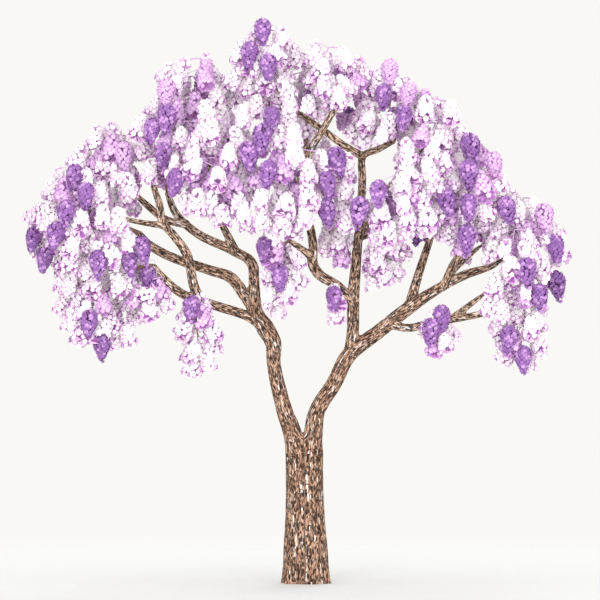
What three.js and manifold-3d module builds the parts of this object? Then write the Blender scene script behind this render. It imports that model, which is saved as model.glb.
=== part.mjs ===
// A mature jacaranda in full flower and out of leaf: one forked trunk, its boughs, and masses of
// flowering twigs that hang bell-shaped sprays of blossom.
// Sizes in the tables are metres: across (+X right), depth (+Y away), height (+Z up) from the
// middle of the trunk's cut foot. The finished solids are millimetres.
import * as THREE from "three";
import { mergeVertices } from "three/addons/utils/BufferGeometryUtils.js";
import Module from "manifold-3d";

const wasm = await Module();
wasm.setup();

const millimetres = 1000;
const clearance = 0.0004; // what a limb or stem keeps from the wood that carries it
const speck = 0.1; // millimetres: facets smaller than this are merged away
const barkColour = 0x8c6a55;
const twigColour = 0xa679bd;

// The trunk: half widths across and in depth at each height, with buttressed roots at its foot.
const trunkSections = [
  { height: 0, across: 0.445, depth: 0.43 },
  { height: 0.14, across: 0.425, depth: 0.405 },
  { height: 0.4, across: 0.41, depth: 0.375 },
  { height: 0.78, across: 0.388, depth: 0.345 },
  { height: 1.15, across: 0.354, depth: 0.32 },
  { height: 1.6, across: 0.34, depth: 0.3 },
  { height: 2.05, across: 0.337, depth: 0.275 },
  { height: 2.4, across: 0.34, depth: 0.235 },
  { height: 2.58, across: 0.325, depth: 0.195 },
  { height: 2.68, across: 0.22, depth: 0.11 },
];
const trunkLean = -0.014; // sideways drift for each metre of height
const trunkSides = 24;
const buttress = { lobes: 6, swell: 0.075, fadesBy: 0.75, turn: 0.35 };

// Every limb: what it grows on, the points of its line with its radius at each, and how many
// sides its section has. The first point is drawn onto the middle of the limb that carries it.
// A limb marked shown is bare from the front, apart from the heights in its veil.
const limbs = {
  left_leader: {
    on: "trunk",
    sides: 10,
    shown: true,
    line: [
      [-0.19, 0, 2.3, 0.16],
      [-0.25, -0.01, 2.72, 0.17],
      [-0.38, -0.04, 3.08, 0.15],
      [-0.58, -0.12, 3.95, 0.119],
      [-0.59, -0.15, 4.32, 0.15],
      [-0.73, -0.18, 4.59, 0.165],
      [-0.9, -0.2, 4.88, 0.125],
      [-0.93, -0.14, 5.3, 0.09],
      [-0.98, 0, 5.76, 0.084],
      [-1.35, 0.2, 6, 0.075],
      [-1.94, 0.48, 6.28, 0.068],
      [-2.36, 0.75, 6.66, 0.06],
      [-2.52, 0.95, 7.06, 0.046],
    ],
  },
  right_leader: {
    on: "trunk",
    sides: 10,
    shown: true,
    line: [
      [0.12, 0, 2.3, 0.16],
      [0.14, 0.01, 2.75, 0.17],
      [0.2, 0.03, 3.1, 0.148],
      [0.51, 0.1, 3.6, 0.141],
      [0.77, 0.16, 4.1, 0.145],
      [1.28, 0.18, 4.5, 0.128],
      [1.81, 0.15, 4.92, 0.12],
      [2.37, 0.08, 5.29, 0.08],
      [2.87, 0.03, 5.55, 0.074],
      [3.31, 0, 5.69, 0.05],
      [3.51, 0, 5.81, 0.038],
    ],
  },
  low_left_bough: {
    on: "left_leader",
    sides: 7,
    shown: true,
    line: [
      [-0.76, -0.19, 4.57, 0.08],
      [-1.04, -0.24, 4.8, 0.076],
      [-1.52, -0.4, 4.96, 0.076],
      [-1.86, -0.55, 5.07, 0.07],
      [-2.24, -0.72, 5.22, 0.07],
      [-2.57, -0.88, 5.51, 0.062],
      [-2.73, -1, 5.71, 0.046],
    ],
  },
  middle_left_bough: {
    on: "left_leader",
    sides: 7,
    shown: true,
    line: [
      [-0.88, -0.2, 4.8, 0.09],
      [-1.07, -0.14, 5.13, 0.095],
      [-1.36, -0.04, 5.5, 0.092],
      [-1.73, 0.02, 5.63, 0.08],
      [-2.41, 0.12, 5.86, 0.074],
      [-2.76, 0.16, 6.04, 0.062],
      [-3.02, 0.2, 6.32, 0.04],
    ],
  },
  rising_left_limb: {
    on: "low_left_bough",
    sides: 7,
    shown: true,
    line: [
      [-1.87, -0.56, 5.08, 0.07],
      [-2, -0.62, 5.33, 0.075],
      [-2.12, -0.74, 5.89, 0.073],
      [-2.33, -0.86, 6.21, 0.066],
      [-2.55, -0.95, 6.48, 0.06],
      [-2.61, -1.05, 6.8, 0.055],
      [-2.72, -1.15, 7.14, 0.044],
    ],
  },
  outer_left_limb: {
    on: "rising_left_limb",
    sides: 6,
    shown: true,
    line: [
      [-2.5, -0.93, 6.42, 0.046],
      [-2.91, -1.08, 6.47, 0.042],
      [-3.31, -1.25, 6.55, 0.03],
    ],
  },
  high_left_limb: {
    on: "left_leader",
    sides: 6,
    shown: true,
    line: [
      [-2.14, 0.6, 6.46, 0.055],
      [-2.54, 0.52, 6.55, 0.058],
      [-2.82, 0.46, 6.76, 0.054],
      [-3.06, 0.42, 6.98, 0.042],
    ],
  },
  short_left_limb: {
    on: "left_leader",
    sides: 7,
    shown: true,
    veil: [6.6, 9],
    line: [
      [-1.26, 0.16, 5.95, 0.064],
      [-1.4, 0.22, 6.23, 0.06],
      [-1.54, 0.3, 6.52, 0.05],
      [-1.67, 0.3, 6.98, 0.044],
      [-1.76, 0.24, 7.52, 0.034],
    ],
  },
  centre_stem: {
    on: "right_leader",
    sides: 7,
    shown: true,
    veil: [6.45, 7.05],
    line: [
      [0.8, 0.16, 4.14, 0.1],
      [0.85, 0.2, 4.62, 0.1],
      [0.85, 0.22, 5.08, 0.108],
      [0.89, 0.22, 5.6, 0.088],
      [0.94, 0.16, 6.21, 0.071],
      [0.98, 0.02, 6.68, 0.064],
      [1.01, -0.25, 7.25, 0.062],
      [1.02, -0.45, 7.67, 0.056],
      [1.29, -0.6, 7.79, 0.052],
      [1.58, -0.78, 7.94, 0.04],
    ],
  },
  window_limb: {
    on: "centre_stem",
    sides: 6,
    shown: true,
    line: [
      [1.03, -0.45, 7.66, 0.052],
      [0.66, -0.6, 7.87, 0.055],
      [0.3, -0.74, 8.13, 0.052],
      [-0.12, -0.9, 8.42, 0.042],
    ],
  },
  inner_bough: {
    on: "centre_stem",
    sides: 7,
    shown: true,
    veil: [6.8, 7.6],
    line: [
      [0.86, 0.21, 5.02, 0.08],
      [0.59, 0.08, 5.33, 0.076],
      [0.24, -0.06, 5.55, 0.086],
      [0.12, -0.14, 5.75, 0.086],
      [0.13, -0.18, 6.05, 0.072],
      [0.04, -0.32, 6.62, 0.062],
      [0, -0.6, 7.16, 0.058],
      [0.05, -0.86, 7.69, 0.06],
      [0.3, -1.02, 8.13, 0.052],
      [0.54, -1.05, 8.53, 0.042],
    ],
  },
  short_inner_limb: {
    on: "inner_bough",
    sides: 6,
    shown: true,
    line: [
      [0.11, -0.16, 5.85, 0.054],
      [-0.11, -0.32, 6.03, 0.05],
      [-0.31, -0.48, 6.16, 0.034],
    ],
  },
  upright_right_limb: {
    on: "right_leader",
    sides: 7,
    shown: true,
    veil: [5.9, 9],
    line: [
      [1.87, 0.14, 4.95, 0.08],
      [1.97, 0.26, 5.35, 0.075],
      [2.13, 0.48, 5.85, 0.062],
      [2.3, 0.7, 6.35, 0.05],
      [2.41, 0.85, 6.8, 0.038],
    ],
  },
  fork_right_limb: {
    on: "right_leader",
    sides: 7,
    shown: true,
    veil: [6.0, 9],
    line: [
      [2.5, 0.06, 5.36, 0.064],
      [2.62, -0.12, 5.68, 0.061],
      [2.79, -0.45, 5.99, 0.05],
      [2.92, -0.85, 6.39, 0.038],
    ],
  },
  low_right_limb: {
    on: "right_leader",
    sides: 7,
    shown: true,
    line: [
      [1.49, 0.17, 4.68, 0.066],
      [1.82, 0, 4.59, 0.062],
      [2.23, -0.2, 4.68, 0.062],
      [2.68, -0.4, 4.76, 0.058],
      [3.11, -0.5, 4.84, 0.05],
      [3.49, -0.55, 4.95, 0.034],
    ],
  },
  low_right_fork: {
    on: "low_right_limb",
    sides: 6,
    shown: true,
    line: [
      [2.59, -0.38, 4.74, 0.048],
      [2.87, -0.42, 4.96, 0.046],
      [3.13, -0.6, 5.16, 0.034],
    ],
  },
  front_left_bough: {
    on: "short_left_limb",
    sides: 6,
    line: [
      [-1.66, 0.3, 6.9, 0.038],
      [-1.62, -0.5, 7.12, 0.036],
      [-1.6, -1.75, 7.3, 0.028],
    ],
  },
  back_left_bough: {
    on: "short_left_limb",
    sides: 6,
    line: [
      [-1.69, 0.3, 7.1, 0.036],
      [-1.66, 1.0, 7.15, 0.034],
      [-1.6, 1.9, 7.25, 0.028],
    ],
  },
  front_centre_bough: {
    on: "inner_bough",
    sides: 6,
    line: [
      [0.03, -0.5, 7.0, 0.044],
      [-0.17, -1.2, 7.25, 0.038],
      [-0.4, -1.95, 7.4, 0.03],
    ],
  },
  back_top_bough: {
    on: "inner_bough",
    sides: 6,
    line: [
      [0.02, -0.62, 7.2, 0.044],
      [-0.06, 0.1, 7.55, 0.04],
      [0, 0.75, 7.95, 0.032],
    ],
  },
  back_right_bough: {
    on: "centre_stem",
    sides: 7,
    line: [
      [0.93, 0.18, 6.0, 0.054],
      [1.0, 0.8, 6.25, 0.05],
      [1.2, 1.5, 6.55, 0.042],
      [1.5, 2.0, 6.8, 0.032],
    ],
  },
  back_centre_bough: {
    on: "back_right_bough",
    sides: 6,
    line: [
      [1.1, 1.2, 6.42, 0.036],
      [0.75, 1.75, 6.85, 0.034],
      [0.35, 2.3, 7.15, 0.028],
    ],
  },
  hanging_right_bough: {
    on: "back_right_bough",
    sides: 6,
    line: [
      [1.0, 0.75, 6.24, 0.036],
      [1.2, 0.62, 6.26, 0.034],
      [1.36, 0.45, 6.24, 0.028],
    ],
  },
  front_right_bough: {
    on: "centre_stem",
    sides: 7,
    line: [
      [0.97, 0.07, 6.5, 0.05],
      [1.06, -0.7, 6.68, 0.046],
      [1.28, -1.8, 6.85, 0.034],
    ],
  },
  upper_right_bough: {
    on: "front_right_bough",
    sides: 6,
    line: [
      [1.12, -1.0, 6.73, 0.036],
      [1.5, -1.2, 7.15, 0.034],
      [1.85, -1.45, 7.5, 0.028],
    ],
  },
  left_back_bough: {
    on: "middle_left_bough",
    sides: 6,
    line: [
      [-2.2, 0.09, 5.79, 0.04],
      [-2.75, 0.75, 6.08, 0.036],
      [-3.15, 1.35, 6.35, 0.028],
    ],
  },
  right_back_bough: {
    on: "right_leader",
    sides: 6,
    line: [
      [2.42, 0.08, 5.3, 0.052],
      [2.75, 0.75, 5.7, 0.044],
      [3.15, 1.45, 6.05, 0.032],
    ],
  },
};

// Every mass of flowering twigs: the limb that carries it, the middle and the half widths of
// its own space, and its number of sprays. One marked hangs grows from the side of its limb at
// the point given, and the others from its limb's tip.
const masses = {
  bloom_far_left: {
    on: "middle_left_bough",
    middle: [-4.12, 0.1, 6.38],
    reach: [0.98, 1.1, 1.05],
    sprays: 12,
  },
  bloom_left_low: { on: "low_left_bough", middle: [-3.61, -0.5, 4.98], reach: [0.98, 1.1, 0.87], sprays: 11 },
  bloom_left_high: {
    on: "high_left_limb",
    middle: [-3.53, 0.45, 7.45],
    reach: [0.86, 1.1, 0.85],
    sprays: 10,
  },
  bloom_left_front: {
    on: "outer_left_limb",
    middle: [-3.72, -1.65, 6.45],
    reach: [1.0, 0.95, 1.0],
    sprays: 9,
  },
  bloom_left_back: {
    on: "left_back_bough",
    middle: [-3.75, 1.95, 6.55],
    reach: [1.0, 1.05, 1.05],
    sprays: 10,
  },
  bloom_hanging_left: {
    on: "low_left_bough",
    hangs: [-1.98, -0.6, 5.13],
    middle: [-1.93, -0.66, 4.42],
    reach: [0.48, 0.56, 0.8],
    view: -1,
    sprays: 6,
  },
  bloom_upper_left_front: {
    on: "rising_left_limb",
    middle: [-2.25, -1.3, 7.95],
    reach: [0.95, 1.05, 0.95],
    sprays: 10,
  },
  bloom_upper_left_back: {
    on: "left_leader",
    middle: [-2.25, 1.4, 7.95],
    reach: [1.0, 1.1, 1.05],
    sprays: 10,
  },
  bloom_upper_left: {
    on: "short_left_limb",
    middle: [-1.91, 0.1, 8.75],
    reach: [0.95, 1.15, 0.85],
    sprays: 10,
  },
  bloom_front_left: {
    on: "front_left_bough",
    middle: [-1.4, -2.6, 7.18],
    reach: [1.15, 1.1, 1.22],
    sprays: 11,
  },
  bloom_back_left: { on: "back_left_bough", middle: [-1.5, 2.75, 7.4], reach: [1.2, 1.15, 1.05], sprays: 11 },
  bloom_top_left: { on: "window_limb", middle: [-0.69, -0.6, 9.12], reach: [0.84, 1.15, 0.99], sprays: 10 },
  bloom_top: { on: "inner_bough", middle: [0.4, -0.75, 8.95], reach: [0.88, 1.15, 0.8], sprays: 10 },
  bloom_top_right: { on: "centre_stem", middle: [1.5, -0.6, 8.42], reach: [0.93, 1.1, 0.95], sprays: 11 },
  bloom_front_centre: {
    on: "front_centre_bough",
    middle: [-0.35, -2.8, 7.22],
    reach: [1, 1.05, 1.22],
    sprays: 9,
  },
  bloom_back_top: { on: "back_top_bough", middle: [0.25, 1.4, 8.65], reach: [1.3, 1.15, 1.05], sprays: 12 },
  bloom_back_centre: {
    on: "back_centre_bough",
    middle: [0.2, 3.0, 7.35],
    reach: [1.15, 1.1, 1.1],
    sprays: 11,
  },
  bloom_front_right: {
    on: "front_right_bough",
    middle: [1.45, -2.55, 7.0],
    reach: [1.15, 1.15, 1.1],
    sprays: 11,
  },
  bloom_back_right: {
    on: "back_right_bough",
    middle: [1.75, 2.65, 7.0],
    reach: [1.15, 1.15, 1.1],
    sprays: 11,
  },
  bloom_upper_right: {
    on: "upper_right_bough",
    middle: [2.14, -1.7, 7.9],
    reach: [0.88, 1.05, 0.92],
    sprays: 10,
  },
  bloom_right_back_high: {
    on: "upright_right_limb",
    middle: [2.64, 0.95, 7.22],
    reach: [0.99, 1.18, 0.97],
    sprays: 12,
  },
  bloom_right_front: {
    on: "fork_right_limb",
    middle: [2.76, -1.5, 6.75],
    reach: [0.95, 1.05, 1],
    sprays: 10,
  },
  bloom_far_right: { on: "right_leader", middle: [3.93, 0.05, 5.9], reach: [0.83, 1.1, 1.13], sprays: 10 },
  bloom_right_low: {
    on: "low_right_limb",
    middle: [3.81, -0.6, 4.6],
    reach: [0.56, 0.85, 0.85],
    view: 0,
    sprays: 8,
  },
  bloom_right_inner: {
    on: "low_right_fork",
    middle: [3.62, -1.35, 5.55],
    reach: [0.82, 0.85, 0.85],
    view: 0,
    sprays: 7,
  },
  bloom_right_back: { on: "right_back_bough", middle: [3.5, 1.95, 6.2], reach: [1.0, 1.1, 1.05], sprays: 10 },
  bloom_hanging_right: {
    on: "low_right_limb",
    hangs: [2.42, -0.29, 4.7],
    middle: [2.36, -0.5, 4.5],
    reach: [0.4, 0.56, 0.47],
    view: -1,
    sprays: 4,
  },
  bloom_hanging_centre: {
    on: "inner_bough",
    hangs: [0.5, 0.05, 5.36],
    middle: [0.5, -0.05, 5.04],
    reach: [0.32, 0.45, 0.37],
    view: -1,
    sprays: 2,
  },
  bloom_inner_left: {
    on: "short_inner_limb",
    middle: [-0.5, -0.8, 5.6],
    reach: [0.55, 0.85, 0.88],
    view: -0.05,
    sprays: 6,
  },
  bloom_lower_right: {
    on: "hanging_right_bough",
    middle: [1.35, 0.1, 5.87],
    reach: [0.62, 0.8, 0.7],
    sprays: 7,
  },
  bloom_left_inner: {
    on: "low_left_bough",
    hangs: [-2.5, -0.85, 5.45],
    middle: [-2.79, -0.95, 5.14],
    reach: [0.45, 0.7, 0.44],
    view: -1,
    sprays: 4,
  },
  bloom_centre_inner: {
    on: "centre_stem",
    hangs: [0.93, 0.18, 6.25],
    middle: [0.56, 0.25, 6.1],
    reach: [0.4, 0.75, 0.5],
    view: -0.1,
    sprays: 4,
  },
};

// The gaps of the crown as seen from the front, between its bare limbs: the middle of each
// across and up, and its half widths.
const openings = [
  [-1.64, 5.4, 0.6, 0.28],
  [-1.64, 5.96, 0.45, 0.15],
  [-2.36, 5.55, 0.28, 0.3],
  [-1.1, 6.12, 0.15, 0.2],
  [0.6, 5.52, 0.18, 0.13],
  [1.34, 7.4, 0.24, 0.32],
  [1.45, 4.95, 0.5, 0.35],
  [2.42, 5.6, 0.22, 0.25],
  [3.1, 5.24, 0.3, 0.16],
];

// One spray of blossom: a thin stalk that swells into a nodding bell with a hollow mouth.
const spray = {
  length: 0.45,
  shoulder: 0.125,
  mouth: 0.2,
  hollow: 0.14,
  sides: 3,
  stalkFoot: 0.008,
  stalkTip: 0.013,
};
// How sprays spread in a mass and how their twigs run.
const growth = {
  tries: 600,
  inward: 0.75,
  apart: 0.44,
  nod: 1.5,
  bow: 0.24,
  arch: 0.03,
  shortest: 0.1,
  bends: 0.3,
  longest: 1.6,
};
const gaps = { betweenMasses: 0.015, roundLimbs: 0.03, openView: 0.06 };
const viewer = { distance: 90, height: 5 }; // where the tree's open front is seen from

// The same run of numbers from 0 to 1 for the same seed.
function seeded(seed) {
  let state = seed;
  return () => {
    state = (state + 0x6d2b79f5) | 0;
    let mixed = Math.imul(state ^ (state >>> 15), 1 | state);
    mixed = (mixed + Math.imul(mixed ^ (mixed >>> 7), 61 | mixed)) ^ mixed;
    return ((mixed ^ (mixed >>> 14)) >>> 0) / 4294967296;
  };
}

const vector = (point) => new THREE.Vector3(point[0], point[1], point[2]);

// A cylinder of radius 1 and one unit long for each step, closed along its seam and rims.
function cylinder(sides, steps) {
  const geometry = new THREE.CylinderGeometry(1, 1, steps, sides, steps);
  geometry.deleteAttribute("normal");
  geometry.deleteAttribute("uv");
  return mergeVertices(geometry);
}

// A closed tube through rings of { at, radius }: a unit cylinder bent along them. A hollow is how
// far its last face is pushed in.
function tube(rings, sides, hollow = 0) {
  const steps = rings.length - 1;
  const geometry = cylinder(sides, steps);
  const ways = rings.slice(1).map((ring, i) => ring.at.clone().sub(rings[i].at).normalize());
  const tangents = rings.map((ring, i) => {
    const [before, after] = [ways[Math.max(i - 1, 0)], ways[Math.min(i, steps - 1)]];
    return before.clone().add(after).normalize();
  });
  const normals = [];
  let normal = new THREE.Vector3(0.31, -0.95, 0.05);
  for (const tangent of tangents) {
    normal = normal.clone().addScaledVector(tangent, -normal.dot(tangent)).normalize();
    normals.push(normal);
  }
  const place = geometry.getAttribute("position");
  for (let i = 0; i < place.count; i++) {
    const [x, y, z] = [place.getX(i), place.getY(i), place.getZ(i)];
    const k = Math.round(y + steps / 2);
    const sideways = normals[k].clone().cross(tangents[k]);
    const point = rings[k].at
      .clone()
      .addScaledVector(normals[k], x * rings[k].radius)
      .addScaledVector(sideways, z * rings[k].radius);
    if (k === steps && Math.hypot(x, z) < 0.5) point.addScaledVector(tangents[k], -hollow);
    place.setXYZ(i, point.x, point.y, point.z);
  }
  return geometry;
}

// A closed geometry in metres as a solid in millimetres.
function solid(geometry) {
  geometry.scale(millimetres, millimetres, millimetres);
  return new wasm.Manifold(
    new wasm.Mesh({
      numProp: 3,
      vertProperties: geometry.getAttribute("position").array,
      triVerts: new Uint32Array(geometry.index.array),
    }),
  );
}

// A solid as a named mesh.
function named(name, shape, colour) {
  const { vertProperties, triVerts } = shape.getMesh();
  const geometry = new THREE.BufferGeometry();
  geometry.setAttribute("position", new THREE.BufferAttribute(vertProperties, 3));
  geometry.setIndex(new THREE.BufferAttribute(triVerts, 1));
  geometry.computeVertexNormals();
  const material = new THREE.MeshStandardMaterial({ color: colour, roughness: 0.85, metalness: 0 });
  const mesh = new THREE.Mesh(geometry, material);
  mesh.name = name;
  return mesh;
}

// The largest body of a solid, without the scraps that a cut leaves.
const largest = (shape) => shape.decompose().reduce((a, b) => (b.volume() > a.volume() ? b : a));

// The trunk, its sections swollen by the buttresses near the ground. Grown gives it more room.
function trunkSolid(grown = 0) {
  const steps = trunkSections.length - 1;
  const geometry = cylinder(trunkSides, steps).rotateX(Math.PI / 2);
  const place = geometry.getAttribute("position");
  for (let i = 0; i < place.count; i++) {
    const [x, y] = [place.getX(i), place.getY(i)];
    const section = trunkSections[Math.round(place.getZ(i) + steps / 2)];
    const fade = Math.max(0, 1 - section.height / buttress.fadesBy) ** 2;
    const lobes = Math.cos(buttress.lobes * (Math.atan2(y, x) + buttress.turn));
    const swell = 1 + buttress.swell * fade * lobes;
    const top = section === trunkSections[steps] ? grown : 0;
    place.setXYZ(
      i,
      x * (section.across * swell + grown) + trunkLean * section.height,
      y * (section.depth * swell + grown),
      section.height + top,
    );
  }
  return solid(geometry);
}

// The rings of a limb: its line drawn smooth, with the radius changing evenly between points.
function limbRings(limb, grown = 0) {
  const points = limb.line.map(vector);
  const curve = new THREE.CatmullRomCurve3(points, false, "centripetal");
  const spans = points.length - 1;
  const steps = Math.ceil(spans * (spans > 8 ? 1 : 1.2));
  const rings = Array.from({ length: steps + 1 }, (_, i) => {
    const share = (i / steps) * spans;
    const low = Math.min(Math.floor(share), spans - 1);
    const radius = THREE.MathUtils.lerp(limb.line[low][3], limb.line[low + 1][3], share - low);
    return { at: curve.getPoint(i / steps), radius: radius + grown };
  });
  rings[steps].at.addScaledVector(curve.getTangent(1), grown);
  return rings;
}

// The point of a run of rings nearest to another point, with the radius there.
function nearestOn(rings, point) {
  let best = { gap: Infinity };
  for (let i = 1; i < rings.length; i++) {
    const line = new THREE.Line3(rings[i - 1].at, rings[i].at);
    const share = line.closestPointToPointParameter(point, true);
    const at = line.at(share, new THREE.Vector3());
    const radius = THREE.MathUtils.lerp(rings[i - 1].radius, rings[i].radius, share);
    const gap = at.distanceTo(point) - radius;
    if (gap < best.gap) best = { gap, at, radius };
  }
  return best;
}

// Where a point lies as seen from the front, as [across, height] on the tree's middle plane.
function fromTheFront(point) {
  const scale = viewer.distance / (viewer.distance + point.y);
  return new THREE.Vector2(point.x * scale, viewer.height + (point.z - viewer.height) * scale);
}

// Each limb's solid, cut clear of the wood that carries it and of its neighbours.
function growLimbs() {
  const grown = [trunkSolid(clearance)];
  const solids = {};
  for (const [name, limb] of Object.entries(limbs)) {
    if (limb.on !== "trunk") {
      const foot = nearestOn(limbs[limb.on].rings, vector(limb.line[0])).at;
      limb.line[0] = [foot.x, foot.y, foot.z, limb.line[0][3]];
    }
    limb.rings = limbRings(limb);
    const whole = solid(tube(limb.rings, limb.sides));
    solids[name] = largest(wasm.Manifold.difference([whole, ...grown]).simplify(speck));
    grown.push(solid(tube(limbRings(limb, clearance), limb.sides)));
  }
  return { solids, grown };
}

// The stem of a mass: from its limb's tip, or down from its limb's side, into its middle.
function stemRings(mass) {
  const rings = limbs[mass.on].rings;
  const tip = rings[rings.length - 1];
  const way = tip.at.clone().sub(rings[rings.length - 2].at).normalize();
  const foot = mass.hangs
    ? nearestOn(rings, vector(mass.hangs))
    : { at: tip.at.clone().addScaledVector(way, -0.01), radius: tip.radius };
  const heart = vector(mass.middle);
  const run = foot.at.distanceTo(heart);
  const leaving = mass.hangs ? new THREE.Vector3(0, 0, -1) : way;
  const bend = foot.at.clone().addScaledVector(leaving, run * 0.5).lerp(heart, 0.35);
  const curve = new THREE.QuadraticBezierCurve3(foot.at, bend, heart);
  const thick = Math.min(foot.radius * 0.9, mass.hangs ? 0.022 : 1);
  return [0, 0.5, 1].map((share) => ({
    at: curve.getPoint(share),
    radius: THREE.MathUtils.lerp(thick, 0.014, share),
  }));
}

// How deep a ball lies in a mass's space: 0 at its middle and 1 where it touches the edge.
function depthIn(mass, point, radius) {
  const offset = point.clone().sub(vector(mass.middle));
  return offset.divide(vector(mass.reach).subScalar(radius)).length();
}

// Whether a ball stays in its mass's own space, nearer to its middle than to any other's.
function inSpace(mass, point, radius) {
  if (depthIn(mass, point, radius) > 1) return false;
  return besideMasses(mass, point, radius);
}

// Whether a ball is nearer to its own mass's middle than to any other's, with room to spare.
function besideMasses(mass, point, radius) {
  const own = point.distanceTo(vector(mass.middle));
  return Object.values(masses).every((other) => {
    if (other === mass) return true;
    const apart = vector(other.middle).distanceTo(vector(mass.middle));
    const further = point.distanceTo(vector(other.middle));
    const margin = (further ** 2 - own ** 2) / (2 * apart);
    return margin > radius + gaps.betweenMasses;
  });
}

// Whether a ball is clear of every limb and of the stems of the other masses.
function clearOfWood(mass, point, radius) {
  const others = Object.values(masses).filter((other) => other !== mass);
  const wood = [...Object.values(limbs), ...others.map((other) => ({ rings: other.stem }))];
  return wood.every(({ rings }) => nearestOn(rings, point).gap > radius + gaps.roundLimbs);
}

// Whether a ball leaves the view from the front onto the bare limbs open.
function clearOfView(mass, point, radius) {
  const seen = fromTheFront(point);
  const room = mass.view ?? gaps.openView;
  const framed = openings.every(
    ([x, z, wide, high]) => Math.hypot((seen.x - x) / (wide + radius), (seen.y - z) / (high + radius)) > 1,
  );
  return framed && Object.values(limbs).every((limb) => {
    if (!limb.shown) return true;
    const [low, high] = limb.veil ?? [99, 99];
    return limb.rings.slice(1).every((ring, i) => {
      const last = limb.rings[i];
      if (ring.at.z > low && ring.at.z < high) return true;
      const [a, b] = [fromTheFront(last.at), fromTheFront(ring.at)];
      const along = b.clone().sub(a);
      const share = THREE.MathUtils.clamp(seen.clone().sub(a).dot(along) / along.lengthSq(), 0, 1);
      const gap = seen.distanceTo(a.addScaledVector(along, share));
      return gap > radius + ring.radius + room;
    });
  });
}

// The bells of a mass: each in its space, clear of the wood and of the bells before it.
function placeBells(mass, random) {
  const heart = vector(mass.middle);
  const bells = [];
  for (let i = 0; i < growth.tries && bells.length < mass.sprays; i++) {
    const up = 2 * random() - 1;
    const turn = 2 * Math.PI * random();
    const shell = 1 - growth.inward * random() ** 2;
    const size = 0.85 + 0.3 * random();
    const flat = Math.sqrt(1 - up * up);
    const out = new THREE.Vector3(flat * Math.cos(turn), flat * Math.sin(turn), up);
    const room = vector(mass.reach).subScalar(spray.mouth * size * 0.9);
    const middle = out.clone().multiplyScalar(shell).multiply(room).add(heart);
    const way = new THREE.Vector3(out.x + random() - 0.5, out.y + random() - 0.5, -growth.nod).normalize();
    const long = spray.length * size;
    const rings = [
      { at: middle.clone().addScaledVector(way, -long * 0.5), radius: spray.stalkTip },
      { at: middle.clone().addScaledVector(way, -long * 0.2), radius: spray.shoulder * size },
      { at: middle.clone().addScaledVector(way, long * 0.5), radius: spray.mouth * size },
    ];
    const elbow = rings[0].at.clone().addScaledVector(way.clone().setZ(0).normalize(), -growth.bow);
    elbow.z += growth.arch;
    const ball = spray.mouth * size * 0.9;
    const fits =
      bells.every(
        (other) =>
          other.middle.distanceTo(middle) > growth.apart &&
          nearestOn(other.rings, elbow).gap > 0.05 &&
          nearestOn(rings, other.elbow).gap > 0.05,
      ) &&
      inSpace(mass, middle, ball) &&
      inSpace(mass, rings[2].at, 0.05) &&
      rings.every(({ at, radius }) => clearOfWood(mass, at, radius) && besideMasses(mass, at, radius)) &&
      clearOfWood(mass, middle, ball) &&
      nearestOn(mass.stem, middle).gap > ball &&
      clearOfView(mass, middle, ball) &&
      clearOfView(mass, rings[2].at, rings[2].radius);
    if (fits) bells.push({ rings, middle, elbow, long });
  }
  return bells;
}

// Places along the bare part of a twig or stem where a further twig may leave it.
function jointsAlong(rings) {
  return rings.slice(1).flatMap(({ at }, i) => {
    return [0.2, 0.4, 0.6, 0.8].map((share) => rings[i].at.clone().lerp(at, share));
  });
}

// Whether a twig's line keeps to its space and touches no limb, bell or other twig.
function clearRun(mass, line, bell, bells, grown) {
  return line.slice(1).every(({ at }, i) =>
    [0.35, 0.7, 0.95].every((share) => {
      const point = line[i].at.clone().lerp(at, share);
      const near = bells.filter((other) => nearestOn(other.rings, point).gap < 0.02);
      const pierced = near.some((other) => other !== bell || share < 0.9);
      const crossed = grown.some(({ twig }) => nearestOn(twig, point).gap < 0.02);
      return !pierced && !crossed && inSpace(mass, point, 0.02) && clearOfWood(mass, point, 0.015);
    }),
  );
}

// The twigs that carry a mass's bells. Those nearest the foot of its stem are grown first, and
// each leaves the nearest joint of the growth before it that it has a clear run from.
function growTwigs(mass, seed) {
  const start = mass.stem[0].at;
  const bells = placeBells(mass, seeded(seed));
  bells.sort((a, b) => a.middle.distanceTo(start) - b.middle.distanceTo(start));
  let joints = jointsAlong(mass.stem).slice(1);
  const grown = [];
  for (const bell of bells) {
    const neck = bell.rings[0];
    const run = (joint) => joint.distanceTo(neck.at);
    joints.sort((a, b) => run(a) - run(b));
    for (const from of joints) {
      if (run(from) < growth.shortest || run(from) > growth.longest) continue;
      const twig = [{ at: from, radius: spray.stalkFoot }];
      if (run(from) > growth.bends) twig.push({ at: bell.elbow, radius: spray.stalkTip });
      if (!clearRun(mass, [...twig, neck], bell, bells, grown)) continue;
      joints = joints.filter((joint) => joint !== from);
      joints.push(...jointsAlong([...twig, neck]));
      grown.push({ twig: [...twig, neck], rings: [...twig, ...bell.rings], long: bell.long });
      break;
    }
  }
  return grown;
}

// One mass as a single solid: its stem, and its twigs with their sprays fused on.
function massSolid(mass, seed, grownLimbs) {
  const parts = [solid(tube(mass.stem, 4))];
  for (const { rings, long } of growTwigs(mass, seed)) {
    parts.push(solid(tube(rings, spray.sides, spray.hollow * long)));
  }
  const fused = wasm.Manifold.union(parts);
  return largest(wasm.Manifold.difference([fused, ...grownLimbs]).simplify(speck));
}

function buildTree() {
  const tree = new THREE.Group();
  tree.add(named("trunk", trunkSolid(), barkColour));
  const { solids, grown } = growLimbs();
  for (const [name, shape] of Object.entries(solids)) tree.add(named(name, shape, barkColour));
  for (const mass of Object.values(masses)) mass.stem = stemRings(mass);
  Object.entries(masses).forEach(([name, mass], i) => {
    tree.add(named(name, massSolid(mass, 101 + i, grown), twigColour));
  });
  return tree;
}

export default buildTree();
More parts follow.
